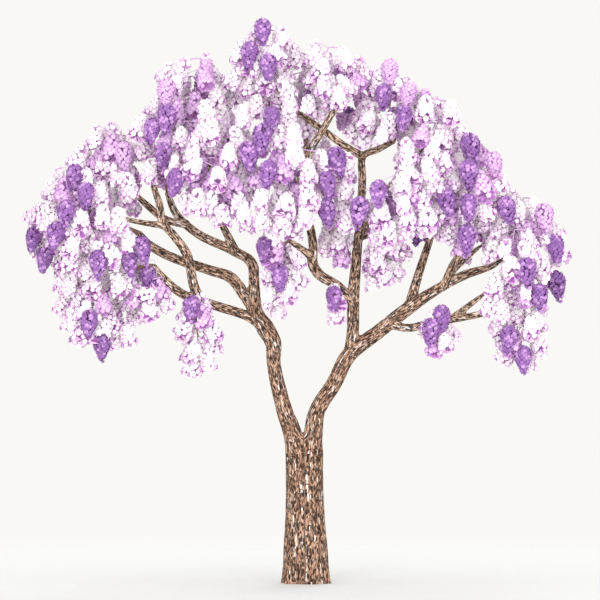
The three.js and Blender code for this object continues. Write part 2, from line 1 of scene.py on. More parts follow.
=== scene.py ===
import math
import bpy
import bmesh
import numpy as np
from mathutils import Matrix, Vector


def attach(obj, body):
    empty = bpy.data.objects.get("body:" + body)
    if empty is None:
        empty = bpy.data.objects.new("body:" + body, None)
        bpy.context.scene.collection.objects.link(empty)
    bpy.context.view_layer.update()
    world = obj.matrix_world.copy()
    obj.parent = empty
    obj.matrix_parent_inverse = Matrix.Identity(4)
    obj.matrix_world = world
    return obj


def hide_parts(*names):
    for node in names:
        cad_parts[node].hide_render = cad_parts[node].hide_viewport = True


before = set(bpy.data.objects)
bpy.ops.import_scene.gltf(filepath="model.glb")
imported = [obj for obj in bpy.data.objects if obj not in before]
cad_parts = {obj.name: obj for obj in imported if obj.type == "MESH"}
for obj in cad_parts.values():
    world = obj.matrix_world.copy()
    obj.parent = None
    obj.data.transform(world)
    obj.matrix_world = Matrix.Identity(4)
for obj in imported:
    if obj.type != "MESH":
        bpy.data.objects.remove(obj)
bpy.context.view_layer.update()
print("frame loaded:", len(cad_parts), "solids")


# a shader socket that can be written into sums
class Wire:
    def __init__(self, shader, socket):
        self.shader = shader
        self.socket = socket

    def maths(self, operation, *values):
        return self.shader.node("ShaderNodeMath", {"operation": operation}, dict(enumerate(values)))

    def __add__(self, other):
        return self.maths("ADD", self, other)

    __radd__ = __add__

    def __sub__(self, other):
        return self.maths("SUBTRACT", self, other)

    def __rsub__(self, other):
        return self.maths("SUBTRACT", other, self)

    def __mul__(self, other):
        return self.maths("MULTIPLY", self, other)

    __rmul__ = __mul__

    def __truediv__(self, other):
        return self.maths("DIVIDE", self, other)

    def held(self):
        return self.shader.node("ShaderNodeClamp", {}, {"Value": self})


# a material with its principled surface, and one way to add any other node
class Shader:
    def __init__(self, name, **finish):
        self.material = bpy.data.materials.new(name)
        self.material.use_nodes = True
        self.nodes = self.material.node_tree.nodes
        self.skin = self.nodes["Principled BSDF"]
        for word, value in finish.items():
            self.set(word, value)

    def set(self, word, value):
        name = {"colour": "Base Color", "sheen": "Sheen Weight",
                "specular": "Specular IOR Level"}.get(word, word.capitalize())
        self.plug(self.skin.inputs[name], value)

    def plug(self, socket, value):
        if isinstance(value, Wire):
            self.material.node_tree.links.new(value.socket, socket)
        else:
            socket.default_value = value

    def node(self, kind, settings, values, output=0):
        made = self.nodes.new(kind)
        for name, value in settings.items():
            setattr(made, name, value)
        for name, value in values.items():
            self.plug(made.inputs[name], value)
        return Wire(self, made.outputs[output])

    def stretched(self, vector, by):
        return self.node("ShaderNodeVectorMath", {"operation": "MULTIPLY"}, {0: vector, 1: by})

    def noise(self, vector, scale, detail, roughness):
        return self.node("ShaderNodeTexNoise", {}, {"Vector": vector, "Scale": scale,
                                                    "Detail": detail, "Roughness": roughness})

    def blend(self, mask, first, second):
        return self.node("ShaderNodeMix", {"data_type": "RGBA"}, {0: mask, 6: first, 7: second}, 2)


# a colour as the eye names it, 0 to 255, for a shader's socket
def tint(red, green, blue):
    parts = [(c / 12.92 if c <= 0.04045 else ((c + 0.055) / 1.055) ** 2.4)
             for c in (red / 255, green / 255, blue / 255)]
    return (*parts, 1)


# the trunk: half widths across and in depth at each height in metres, and the lobes of its foot
trunk = {
    "height": [0, 0.14, 0.4, 0.78, 1.15, 1.6, 2.05, 2.4, 2.58, 2.68],
    "across": [0.445, 0.425, 0.41, 0.388, 0.354, 0.34, 0.337, 0.34, 0.325, 0.22],
    "depth": [0.43, 0.405, 0.375, 0.345, 0.32, 0.3, 0.275, 0.235, 0.195, 0.11],
    "lean": -0.014, "lobes": 6, "swell": 0.075, "fadesBy": 0.75, "turn": 0.35,
    "below": 0.12, "step": 0.06, "round": 72,
}


def bare(on, line, veil=(99, 99)):
    return {"on": on, "line": line, "shown": True, "veil": veil}


def hidden(on, line):
    return {"on": on, "line": line, "shown": False}


# each limb: what it grows on, and its line as (across, depth, height, radius); a bare limb shows
# from the front, apart from the heights in its veil
limbs = {
    "left_leader": bare("trunk", [
        (-0.19, 0, 2.3, 0.16), (-0.25, -0.01, 2.72, 0.17), (-0.38, -0.04, 3.08, 0.15),
        (-0.58, -0.12, 3.95, 0.119), (-0.59, -0.15, 4.32, 0.15), (-0.73, -0.18, 4.59, 0.165),
        (-0.9, -0.2, 4.88, 0.125), (-0.93, -0.14, 5.3, 0.09), (-0.98, 0, 5.76, 0.084),
        (-1.35, 0.2, 6, 0.075), (-1.94, 0.48, 6.28, 0.068), (-2.36, 0.75, 6.66, 0.06),
        (-2.52, 0.95, 7.06, 0.046),
    ]),
    "right_leader": bare("trunk", [
        (0.12, 0, 2.3, 0.16), (0.14, 0.01, 2.75, 0.17), (0.2, 0.03, 3.1, 0.148),
        (0.51, 0.1, 3.6, 0.141), (0.77, 0.16, 4.1, 0.145), (1.28, 0.18, 4.5, 0.128),
        (1.81, 0.15, 4.92, 0.12), (2.37, 0.08, 5.29, 0.08), (2.87, 0.03, 5.55, 0.074),
        (3.31, 0, 5.69, 0.05), (3.51, 0, 5.81, 0.038),
    ]),
    "low_left_bough": bare("left_leader", [
        (-0.76, -0.19, 4.57, 0.08), (-1.04, -0.24, 4.8, 0.076), (-1.52, -0.4, 4.96, 0.076),
        (-1.86, -0.55, 5.07, 0.07), (-2.24, -0.72, 5.22, 0.07), (-2.57, -0.88, 5.51, 0.062),
        (-2.73, -1, 5.71, 0.046),
    ]),
    "middle_left_bough": bare("left_leader", [
        (-0.88, -0.2, 4.8, 0.09), (-1.07, -0.14, 5.13, 0.095), (-1.36, -0.04, 5.5, 0.092),
        (-1.73, 0.02, 5.63, 0.08), (-2.41, 0.12, 5.86, 0.074), (-2.76, 0.16, 6.04, 0.062),
        (-3.02, 0.2, 6.32, 0.04),
    ]),
    "rising_left_limb": bare("low_left_bough", [
        (-1.87, -0.56, 5.08, 0.07), (-2, -0.62, 5.33, 0.075), (-2.12, -0.74, 5.89, 0.073),
        (-2.33, -0.86, 6.21, 0.066), (-2.55, -0.95, 6.48, 0.06), (-2.61, -1.05, 6.8, 0.055),
        (-2.72, -1.15, 7.14, 0.044),
    ]),
    "outer_left_limb": bare("rising_left_limb", [
        (-2.5, -0.93, 6.42, 0.046), (-2.91, -1.08, 6.47, 0.042), (-3.31, -1.25, 6.55, 0.03),
    ]),
    "high_left_limb": bare("left_leader", [
        (-2.14, 0.6, 6.46, 0.055), (-2.54, 0.52, 6.55, 0.058), (-2.82, 0.46, 6.76, 0.054),
        (-3.06, 0.42, 6.98, 0.042),
    ]),
    "short_left_limb": bare("left_leader", [
        (-1.26, 0.16, 5.95, 0.064), (-1.4, 0.22, 6.23, 0.06), (-1.54, 0.3, 6.52, 0.05),
        (-1.67, 0.3, 6.98, 0.044), (-1.76, 0.24, 7.52, 0.034),
    ], veil=(6.6, 9)),
    "centre_stem": bare("right_leader", [
        (0.8, 0.16, 4.14, 0.1), (0.85, 0.2, 4.62, 0.1), (0.85, 0.22, 5.08, 0.108),
        (0.89, 0.22, 5.6, 0.088), (0.94, 0.16, 6.21, 0.071), (0.98, 0.02, 6.68, 0.064),
        (1.01, -0.25, 7.25, 0.062), (1.02, -0.45, 7.67, 0.056), (1.29, -0.6, 7.79, 0.052),
        (1.58, -0.78, 7.94, 0.04),
    ], veil=(6.45, 7.05)),
    "window_limb": bare("centre_stem", [
        (1.03, -0.45, 7.66, 0.052), (0.66, -0.6, 7.87, 0.055), (0.3, -0.74, 8.13, 0.052),
        (-0.12, -0.9, 8.42, 0.042),
    ]),
    "inner_bough": bare("centre_stem", [
        (0.86, 0.21, 5.02, 0.08), (0.59, 0.08, 5.33, 0.076), (0.24, -0.06, 5.55, 0.086),
        (0.12, -0.14, 5.75, 0.086), (0.13, -0.18, 6.05, 0.072), (0.04, -0.32, 6.62, 0.062),
        (0, -0.6, 7.16, 0.058), (0.05, -0.86, 7.69, 0.06), (0.3, -1.02, 8.13, 0.052),
        (0.54, -1.05, 8.53, 0.042),
    ], veil=(6.8, 7.6)),
    "short_inner_limb": bare("inner_bough", [
        (0.11, -0.16, 5.85, 0.054), (-0.11, -0.32, 6.03, 0.05), (-0.31, -0.48, 6.16, 0.034),
    ]),
    "upright_right_limb": bare("right_leader", [
        (1.87, 0.14, 4.95, 0.08), (1.97, 0.26, 5.35, 0.075), (2.13, 0.48, 5.85, 0.062),
        (2.3, 0.7, 6.35, 0.05), (2.41, 0.85, 6.8, 0.038),
    ], veil=(5.9, 9)),
    "fork_right_limb": bare("right_leader", [
        (2.5, 0.06, 5.36, 0.064), (2.62, -0.12, 5.68, 0.061), (2.79, -0.45, 5.99, 0.05),
        (2.92, -0.85, 6.39, 0.038),
    ], veil=(6, 9)),
    "low_right_limb": bare("right_leader", [
        (1.49, 0.17, 4.68, 0.066), (1.82, 0, 4.59, 0.062), (2.23, -0.2, 4.68, 0.062),
        (2.68, -0.4, 4.76, 0.058), (3.11, -0.5, 4.84, 0.05), (3.49, -0.55, 4.95, 0.034),
    ]),
    "low_right_fork": bare("low_right_limb", [
        (2.59, -0.38, 4.74, 0.048), (2.87, -0.42, 4.96, 0.046), (3.13, -0.6, 5.16, 0.034),
    ]),
    "front_left_bough": hidden("short_left_limb", [
        (-1.66, 0.3, 6.9, 0.038), (-1.62, -0.5, 7.12, 0.036), (-1.6, -1.75, 7.3, 0.028),
    ]),
    "back_left_bough": hidden("short_left_limb", [
        (-1.69, 0.3, 7.1, 0.036), (-1.66, 1, 7.15, 0.034), (-1.6, 1.9, 7.25, 0.028),
    ]),
    "front_centre_bough": hidden("inner_bough", [
        (0.03, -0.5, 7, 0.044), (-0.17, -1.2, 7.25, 0.038), (-0.4, -1.95, 7.4, 0.03),
    ]),
    "back_top_bough": hidden("inner_bough", [
        (0.02, -0.62, 7.2, 0.044), (-0.06, 0.1, 7.55, 0.04), (0, 0.75, 7.95, 0.032),
    ]),
    "back_right_bough": hidden("centre_stem", [
        (0.93, 0.18, 6, 0.054), (1, 0.8, 6.25, 0.05), (1.2, 1.5, 6.55, 0.042), (1.5, 2, 6.8, 0.032),
    ]),
    "back_centre_bough": hidden("back_right_bough", [
        (1.1, 1.2, 6.42, 0.036), (0.75, 1.75, 6.85, 0.034), (0.35, 2.3, 7.15, 0.028),
    ]),
    "hanging_right_bough": hidden("back_right_bough", [
        (1, 0.75, 6.24, 0.036), (1.2, 0.62, 6.26, 0.034), (1.36, 0.45, 6.24, 0.028),
    ]),
    "front_right_bough": hidden("centre_stem", [
        (0.97, 0.07, 6.5, 0.05), (1.06, -0.7, 6.68, 0.046), (1.28, -1.8, 6.85, 0.034),
    ]),
    "upper_right_bough": hidden("front_right_bough", [
        (1.12, -1, 6.73, 0.036), (1.5, -1.2, 7.15, 0.034), (1.85, -1.45, 7.5, 0.028),
    ]),
    "left_back_bough": hidden("middle_left_bough", [
        (-2.2, 0.09, 5.79, 0.04), (-2.75, 0.75, 6.08, 0.036), (-3.15, 1.35, 6.35, 0.028),
    ]),
    "right_back_bough": hidden("right_leader", [
        (2.42, 0.08, 5.3, 0.052), (2.75, 0.75, 5.7, 0.044), (3.15, 1.45, 6.05, 0.032),
    ]),
}


def bloom(on, middle, reach, sprays, **more):
    return {"on": on, "middle": np.array(middle), "reach": np.array(reach), "sprays": sprays, **more}


# each mass of flowering twigs: its limb, the middle and reach of its own space, and how many first
# sprays it has; view is the room that it leaves beside bare limbs seen from the front, and hangs
# the place on its limb that it hangs down from
masses = {
    "bloom_far_left": bloom("middle_left_bough", (-4.12, 0.1, 6.38), (0.98, 1.1, 1.05), 12),
    "bloom_left_low": bloom("low_left_bough", (-3.61, -0.5, 4.98), (0.98, 1.1, 0.87), 11),
    "bloom_left_high": bloom("high_left_limb", (-3.53, 0.45, 7.45), (0.86, 1.1, 0.85), 10),
    "bloom_left_front": bloom("outer_left_limb", (-3.72, -1.65, 6.45), (1, 0.95, 1), 9),
    "bloom_left_back": bloom("left_back_bough", (-3.75, 1.95, 6.55), (1, 1.05, 1.05), 10),
    "bloom_hanging_left": bloom("low_left_bough", (-1.93, -0.66, 4.42), (0.48, 0.56, 0.8), 6, view=-1,
        hangs=(-1.98, -0.6, 5.13)),
    "bloom_upper_left_front": bloom("rising_left_limb", (-2.25, -1.3, 7.95), (0.95, 1.05, 0.95), 10),
    "bloom_upper_left_back": bloom("left_leader", (-2.25, 1.4, 7.95), (1, 1.1, 1.05), 10),
    "bloom_upper_left": bloom("short_left_limb", (-1.91, 0.1, 8.75), (0.95, 1.15, 0.85), 10),
    "bloom_front_left": bloom("front_left_bough", (-1.4, -2.6, 7.18), (1.15, 1.1, 1.22), 11),
    "bloom_back_left": bloom("back_left_bough", (-1.5, 2.75, 7.4), (1.2, 1.15, 1.05), 11),
    "bloom_top_left": bloom("window_limb", (-0.69, -0.6, 9.12), (0.84, 1.15, 0.99), 10),
    "bloom_top": bloom("inner_bough", (0.4, -0.75, 8.95), (0.88, 1.15, 0.8), 10),
    "bloom_top_right": bloom("centre_stem", (1.5, -0.6, 8.42), (0.93, 1.1, 0.95), 11),
    "bloom_front_centre": bloom("front_centre_bough", (-0.35, -2.8, 7.22), (1, 1.05, 1.22), 9),
    "bloom_back_top": bloom("back_top_bough", (0.25, 1.4, 8.65), (1.3, 1.15, 1.05), 12),
    "bloom_back_centre": bloom("back_centre_bough", (0.2, 3, 7.35), (1.15, 1.1, 1.1), 11),
    "bloom_front_right": bloom("front_right_bough", (1.45, -2.55, 7), (1.15, 1.15, 1.1), 11),
    "bloom_back_right": bloom("back_right_bough", (1.75, 2.65, 7), (1.15, 1.15, 1.1), 11),
    "bloom_upper_right": bloom("upper_right_bough", (2.14, -1.7, 7.9), (0.88, 1.05, 0.92), 10),
    "bloom_right_back_high": bloom("upright_right_limb", (2.64, 0.95, 7.22), (0.99, 1.18, 0.97), 12),
    "bloom_right_front": bloom("fork_right_limb", (2.76, -1.5, 6.75), (0.95, 1.05, 1), 10),
    "bloom_far_right": bloom("right_leader", (3.93, 0.05, 5.9), (0.83, 1.1, 1.13), 10),
    "bloom_right_low": bloom("low_right_limb", (3.81, -0.6, 4.6), (0.56, 0.85, 0.85), 8, view=0),
    "bloom_right_inner": bloom("low_right_fork", (3.62, -1.35, 5.55), (0.82, 0.85, 0.85), 7, view=0),
    "bloom_right_back": bloom("right_back_bough", (3.5, 1.95, 6.2), (1, 1.1, 1.05), 10),
    "bloom_hanging_right": bloom("low_right_limb", (2.36, -0.5, 4.5), (0.4, 0.56, 0.47), 4, view=-1,
        hangs=(2.42, -0.29, 4.7)),
    "bloom_hanging_centre": bloom("inner_bough", (0.5, -0.05, 5.04), (0.32, 0.45, 0.37), 2, view=-1,
        hangs=(0.5, 0.05, 5.36)),
    "bloom_inner_left": bloom("short_inner_limb", (-0.5, -0.8, 5.6), (0.55, 0.85, 0.88), 6, view=-0.05),
    "bloom_lower_right": bloom("hanging_right_bough", (1.35, 0.1, 5.87), (0.62, 0.8, 0.7), 7),
    "bloom_left_inner": bloom("low_left_bough", (-2.79, -0.95, 5.14), (0.45, 0.7, 0.44), 4, view=-1,
        hangs=(-2.5, -0.85, 5.45)),
    "bloom_centre_inner": bloom("centre_stem", (0.56, 0.25, 6.1), (0.4, 0.75, 0.5), 4, view=-0.1,
        hangs=(0.93, 0.18, 6.25)),
}

# the gaps of the crown seen from the front: the middle of each across and up, and half widths
openings = [
    (-1.64, 5.4, 0.6, 0.28), (-1.64, 5.96, 0.45, 0.15), (-2.36, 5.55, 0.28, 0.3),
    (-1.1, 6.12, 0.15, 0.2), (0.6, 5.52, 0.18, 0.13), (1.34, 7.4, 0.24, 0.32),
    (1.45, 4.95, 0.5, 0.35), (2.42, 5.6, 0.22, 0.25), (3.1, 5.24, 0.3, 0.16),
]

# one panicle of flowers and how panicles spread in a mass: the few that the solids have too,
# then the many finer ones between them
firstGrowth = {
    "tries": 600, "inward": 0.75, "apart": 0.44, "nod": 1.5, "bow": 0.24, "arch": 0.03,
    "long": 0.45, "shoulder": 0.125, "mouth": 0.2, "foot": 0.008, "tip": 0.013,
    "shortest": 0.1, "bends": 0.3, "longest": 1.6, "flowers": 60, "flower": 1.1,
    "outline": ((0, 0.2), (0.08, 0.42), (0.3, 0.58), (0.6, 0.72),
                (0.8, 0.92), (0.88, 1), (0.94, 0.8), (1, 0.3)),
}
fineGrowth = {
    "tries": 1600, "inward": 0.6, "apart": 0.31, "nod": 1.9, "bow": 0.1, "arch": 0.02,
    "long": 0.4, "shoulder": 0.11, "mouth": 0.18, "foot": 0.006, "tip": 0.004,
    "shortest": 0.05, "bends": 0.16, "longest": 1.0, "flowers": 52, "flower": 1.06, "each": 1.3,
    "asks": 10, "slack": -0.01, "outline": firstGrowth["outline"],
}
# the full sprays that have a place and a colour of their own: they taper down to a tip
placedGrowth = dict(
    fineGrowth, long=0.47, mouth=0.17, shoulder=0.12, flowers=96, flower=0.9,
    longest=1.8, asks=60, slack=0.3,
    outline=((0, 0.35), (0.12, 0.8), (0.32, 1), (0.55, 0.86), (0.8, 0.5), (1, 0.2)))
coverGrowth = dict(fineGrowth, longest=1.8, asks=60, slack=0.3)
viewer = {"distance": 90, "height": 5}

# rings a span along a limb: one where it has many spans
limbRings = {"manySpans": 8, "perSpan": 1.2}
# the stem of a mass: its thickness as a share of its foot's, how far it sinks in, and its bend
stems = {"thick": 0.9, "hangingThick": 0.022, "sunk": 0.01, "straight": 0.5, "pull": 0.35, "tip": 0.014}
# a spray's neck, shoulder and mouth along it, from its middle, and its size
sprayShape = {"along": (-0.5, -0.2, 0.5), "neckThick": 0.013, "least": 0.85, "more": 0.3}
# the ball that stands for a spray in each test, as a share of its mouth
balls = {"first": 0.9, "fine": 0.7, "fineWood": 0.5, "placed": 0.75}
# how far things keep from each other, in metres
gaps = {
    "space": 0.015, "wood": 0.03, "view": 0.06, "mouth": 0.05, "elbow": 0.05,
    "twig": 0.02, "twigWood": 0.015, "fineWood": 0.004, "fineView": 0.01,
}
# shares of a run: where twigs may leave it, and where a twig is tested
twigShares = {
    "first": (0.2, 0.4, 0.6, 0.8), "stem": (0.2, 0.4, 0.6, 0.8, 1.0), "fine": (0.4, 0.8),
    "carried": (0.15, 0.3, 0.45, 0.6, 0.75, 0.9), "tested": (0.35, 0.7, 0.95),
    "seen": (0.25, 0.4, 0.55, 0.7, 0.85),
}
# sprays with a place: the depths that are tried, how far out they may stand, and how they hang
placing = {
    "depths": (0.95, 0.8, 0.6, 0.35, 0, -0.4, -0.8), "edge": 1.25, "farEdge": 1.6,
    "beside": -0.25, "wood": 0.06, "lean": 0.4, "nod": 1.5, "least": 0.9, "more": 0.2,
}
# how likely violet is, then violet or orchid, at the back, inside a mass and at its outside; the deeper
# tones inside a mass are painted shade
dealing = {"backFrom": 0.6, "innerTo": 0.6, "back": (0.15, 0.5), "inner": (0, 0.38), "outer": (0, 0.05)}
# one seed for each kind of draw; the masses count on from it
seeds = {"first": 101, "fine": 301, "firstTone": 501, "fineTone": 701, "placed": 901, "nextTone": 50}
# directions that no spray and no flower runs along
aslant, lobesFrom = np.array([0.31, -0.95, 0.05]), np.array([0.2, 0.9, 0.31])

# full sprays that the front shows in a colour of their own: across and height
violetPlaces = [
    (-0.79, 9.92), (-1.03, 9.47), (-0.68, 9.25), (-2.52, 8.32), (-2.79, 8.12), (-2.59, 7.67),
    (-2.38, 7.2), (-4.21, 7.29), (-3.98, 6.95), (-4.34, 6.62), (-4.95, 6.17), (-4.54, 6.23),
    (-4.75, 5.8), (-3.76, 5.71), (-3.17, 5.71), (-2.93, 5.96), (-2.86, 5.54), (-0.63, 8.33),
    (-0.81, 7.97), (-1.03, 7.65), (-0.7, 7.33), (-0.76, 5.99), (-0.47, 5.47), (-2.07, 4.9),
    (-3.92, 4.64), (-3.71, 4.23), (1.39, 8.73), (1.75, 8.35), (3.01, 7.83), (2.93, 7.33),
    (2.56, 6.86), (2.93, 6.73), (3.65, 6.7), (2.9, 6.16), (4.52, 5.99), (3.98, 5.56),
    (4.57, 5.33), (4.23, 5.11), (0.58, 7.58), (0.4, 7.15), (0.38, 6.66), (0.95, 6.66),
    (1.3, 6.98), (0.5, 5.09), (2.45, 4.73), (2.25, 4.48), (3.65, 4.36), (3.92, 4.0),
]
orchidPlaces = [(-2.54, 8.82), (-3.28, 7.65), (1.51, 9.18), (1.85, 8.77), (3.42, 7.51), (4.32, 6.55)]
# pale ones that hide the wood where the masses begin; a third number is the least depth
palePlaces = [
    (-3.38, 6.52), (-3.2, 6.14), (-3.12, 5.62), (-3.38, 5.36), (0.02, 7.0), (0.04, 7.4), (-0.02, 6.62),
    (-0.42, 6.5), (-0.62, 6.25), (-0.25, 7.75), (3.4, 5.35), (3.32, 5.0), (-3.66, 6.6), (-3.42, 7.38),
    (-3.22, 7.16), (-3.04, 5.74), (-3.26, 5.52), (-0.3, 8.66), (0.58, 8.74), (-0.04, 7.95, -0.5),
    (0.14, 7.72, -0.5), (-0.2, 8.2, -0.5), (1.48, 8.24), (1.74, 7.2), (-0.18, 7.7), (0.02, 8.25, -0.5),
    (-2.84, 7.42), (-2.44, 7.52), (-1.16, 8.42), (-0.84, 6.9), (-0.8, 6.55), (-1.12, 6.66), (-1.98, 6.86),
    (-3.82, 8.05), (-1.2, 9.55), (-0.42, 9.85), (0.15, 9.55), (3.5, 7.25), (-4.42, 5.4), (-4.5, 7.3),
    (3.54, 4.9),
]


def unit(vectors):
    return vectors / np.linalg.norm(vectors, axis=-1, keepdims=True)


# the same run of numbers from 0 to 1 for the same seed
def seeded(seed):
    state = seed

    def draw():
        nonlocal state
        state = (state + 0x6D2B79F5) & 0xFFFFFFFF
        mixed = ((state ^ state >> 15) * (1 | state)) & 0xFFFFFFFF
        mixed = (mixed + (mixed ^ mixed >> 7) * (61 | mixed) & 0xFFFFFFFF) ^ mixed
        mixed &= 0xFFFFFFFF
        return (mixed ^ mixed >> 14) / 4294967296
    return draw


# points of one smooth curve through a limb's line, at shares of its whole run
def smoothLine(points, shares):
    points = np.array(points, float)
    last = len(points) - 1
    padded = np.vstack([2 * points[0] - points[1], points, 2 * points[last] - points[last - 1]])
    run = np.asarray(shares) * last
    low = np.minimum(run.astype(int), last - 1)
    share = (run - low)[:, None]
    a, b, c, d = (padded[low + i] for i in range(4))
    gapA, gapB, gapC = (((q - p) ** 2).sum(1, keepdims=True) ** 0.25 for p, q in ((a, b), (b, c), (c, d)))
    leave = ((b - a) / gapA - (c - a) / (gapA + gapB) + (c - b) / gapB) * gapB
    arrive = ((c - b) / gapB - (d - b) / (gapB + gapC) + (d - c) / gapC) * gapB
    return (b + leave * share + (3 * (c - b) - 2 * leave - arrive) * share ** 2
            + (2 * (b - c) + leave + arrive) * share ** 3)


# rings of (across, depth, height, radius) along a limb
def ringsOf(line, steps):
    line = np.array(line, float)
    shares = np.arange(steps + 1) / steps
    radius = np.interp(shares * (len(line) - 1), np.arange(len(line)), line[:, 3])
    return np.column_stack([smoothLine(line[:, :3], shares), radius])


def linesOf(rings):
    return np.stack([rings[:-1], rings[1:]], 1)


# from each point to the skin of each tapered line, and the ring of the line nearest to it
def skinGap(points, lines):
    a, b = lines[:, 0], lines[:, 1]
    along = b[:, :3] - a[:, :3]
    share = ((points[:, None] - a[:, :3]) * along).sum(-1) / (along ** 2).sum(-1)
    near = a + np.clip(share, 0, 1)[..., None] * (b - a)
    return np.linalg.norm(points[:, None] - near[..., :3], axis=-1) - near[..., 3], near


def nearestRing(rings, point):
    gap, near = skinGap(np.array([point], float), linesOf(rings))
    return near[0, gap[0].argmin()]


# where points lie as seen from the front, on the tree's middle plane
def fromTheFront(points):
    scale = viewer["distance"] / (viewer["distance"] + points[:, 1])
    height = viewer["height"] + (points[:, 2] - viewer["height"]) * scale
    return np.column_stack([points[:, 0] * scale, height])


def growLimbs():
    for limb in limbs.values():
        if limb["on"] != "trunk":
            foot = nearestRing(limbs[limb["on"]]["rings"], limb["line"][0][:3])
            limb["line"][0] = (*foot[:3], limb["line"][0][3])
        spans = len(limb["line"]) - 1
        perSpan = 1 if spans > limbRings["manySpans"] else limbRings["perSpan"]
        limb["rings"] = ringsOf(limb["line"], math.ceil(spans * perSpan))


# the stem of a mass: from its limb's tip, or down from its limb's side, into its middle
def stemOf(mass):
    rings = limbs[mass["on"]]["rings"]
    way = unit(rings[-1, :3] - rings[-2, :3])
    if "hangs" in mass:
        foot = nearestRing(rings, mass["hangs"])
        leaving, thick = np.array([0, 0, -1.0]), min(foot[3] * stems["thick"], stems["hangingThick"])
    else:
        foot = np.array([*(rings[-1, :3] - way * stems["sunk"]), rings[-1, 3]])
        leaving, thick = way, foot[3] * stems["thick"]
    start, heart = foot[:3], mass["middle"]
    run = np.linalg.norm(start - heart)
    bend = (start + leaving * run * stems["straight"]) * (1 - stems["pull"]) + heart * stems["pull"]
    mass["curve"] = (start, bend, heart, thick)
    return curveRings(*mass["curve"], 2)


def curveRings(start, bend, heart, thick, steps):
    share = (np.arange(steps + 1) / steps)[:, None]
    at = start * (1 - share) ** 2 + 2 * bend * share * (1 - share) + heart * share ** 2
    return np.column_stack([at, thick + (stems["tip"] - thick) * share[:, 0]])


# whether balls stay in their mass's own space, nearer to its middle than to any other's
def inSpace(mass, points, radius):
    heart, reach = mass["middle"], mass["reach"]
    depth = np.linalg.norm((points - heart) / (reach - np.reshape(radius, (-1, 1))), axis=1)
    return (depth <= 1) & besideMasses(mass, points, radius)


def besideMasses(mass, points, radius):
    own = ((points - mass["middle"]) ** 2).sum(1)
    clear = np.ones(len(points), bool)
    for other in masses.values():
        if other is not mass:
            apart = np.linalg.norm(other["middle"] - mass["middle"])
            further = ((points - other["middle"]) ** 2).sum(1)
            clear &= (further - own) / (2 * apart) > radius + gaps["space"]
    return clear


def clearOfWood(mass, points, radius, room=gaps["wood"]):
    gap = skinGap(points, mass["wood"])[0].min(1)
    return gap > radius + room


# whether balls leave the front's view onto the bare limbs and through the openings free
def clearOfView(points, radius, room):
    seen = fromTheFront(points)
    radius = np.broadcast_to(radius, len(points))
    clear = np.ones(len(points), bool)
    for x, z, wide, high in openings:
        clear &= np.hypot((seen[:, 0] - x) / (wide + radius), (seen[:, 1] - z) / (high + radius)) > 1
    for start, end, thick in shownLines:
        along = end - start
        share = np.clip((seen - start) @ along / (along @ along), 0, 1)
        gap = np.linalg.norm(seen - start - share[:, None] * along, axis=1)
        clear &= gap > radius + thick + room
    return clear


def viewedLines():
    lines = []
    for limb in limbs.values():
        if limb["shown"]:
            (low, high), rings = limb["veil"], limb["rings"]
            seen = fromTheFront(rings)
            lines += [(seen[i], seen[i + 1], rings[i + 1, 3]) for i in range(len(rings) - 1)
                      if not low < rings[i + 1, 2] < high]
    return lines


# the middle and way of every spray that the dice offer to a mass, with its neck, shoulder and mouth
def offered(mass, seed, rule):
    draw = seeded(seed)
    dice = np.array([[draw() for _ in range(6)] for _ in range(rule["tries"])])
    up, turn = 2 * dice[:, 0] - 1, 2 * math.pi * dice[:, 1]
    shell = 1 - rule["inward"] * dice[:, 2] ** 2
    size = sprayShape["least"] + sprayShape["more"] * dice[:, 3]
    flat = np.sqrt(1 - up * up)
    out = np.column_stack([flat * np.cos(turn), flat * np.sin(turn), up])
    room = mass["reach"] - (rule["mouth"] * size * balls["first"])[:, None]
    middle = out * shell[:, None] * room + mass["middle"]
    way = np.column_stack([out[:, 0] + dice[:, 4] - 0.5, out[:, 1] + dice[:, 5] - 0.5,
                           np.full(len(out), -rule["nod"])])
    return shaped(middle, unit(way), size, rule)


def shaped(middle, way, size, rule):
    long = rule["long"] * size
    thick = (np.full(len(size), sprayShape["neckThick"]), rule["shoulder"] * size, rule["mouth"] * size)
    rings = np.stack([np.column_stack([middle + way * (long * along)[:, None], radius])
                      for along, radius in zip(sprayShape["along"], thick)], 1)
    level = way * (1, 1, 0)
    length = np.linalg.norm(level, axis=1, keepdims=True)
    elbow = rings[:, 0, :3] - level / np.maximum(length, 1e-9) * rule["bow"]
    elbow[:, 2] += rule["arch"]
    return {"middle": middle, "way": way, "size": size, "rings": rings, "elbow": elbow}


# the first sprays of a mass, by the same tests as its solid
def firstSprays(mass, seed, rule):
    spray = offered(mass, seed, rule)
    middle, rings = spray["middle"], spray["rings"]
    ball = rule["mouth"] * spray["size"] * balls["first"]
    good = inSpace(mass, middle, ball) & inSpace(mass, rings[:, 2, :3], gaps["mouth"])
    for i in range(3):
        good &= clearOfWood(mass, rings[:, i, :3], rings[:, i, 3])
        good &= besideMasses(mass, rings[:, i, :3], rings[:, i, 3])
    good &= clearOfWood(mass, middle, ball)
    good &= skinGap(middle, linesOf(mass["stem"]))[0].min(1) > ball
    room = mass.get("view", gaps["view"])
    good &= clearOfView(middle, ball, room) & clearOfView(rings[:, 2, :3], rings[:, 2, 3], room)
    kept = []
    for i in np.flatnonzero(good):
        if len(kept) == mass["sprays"]:
            break
        lines = linesOf(rings[i])
        if all(np.linalg.norm(middle[i] - middle[j]) > rule["apart"]
               and skinGap(spray["elbow"][i:i + 1], linesOf(rings[j]))[0].min() > gaps["elbow"]
               and skinGap(spray["elbow"][j:j + 1], lines)[0].min() > gaps["elbow"] for j in kept):
            kept.append(i)
    return picked(spray, kept)


def picked(spray, kept):
    return {name: values[kept] for name, values in spray.items()}


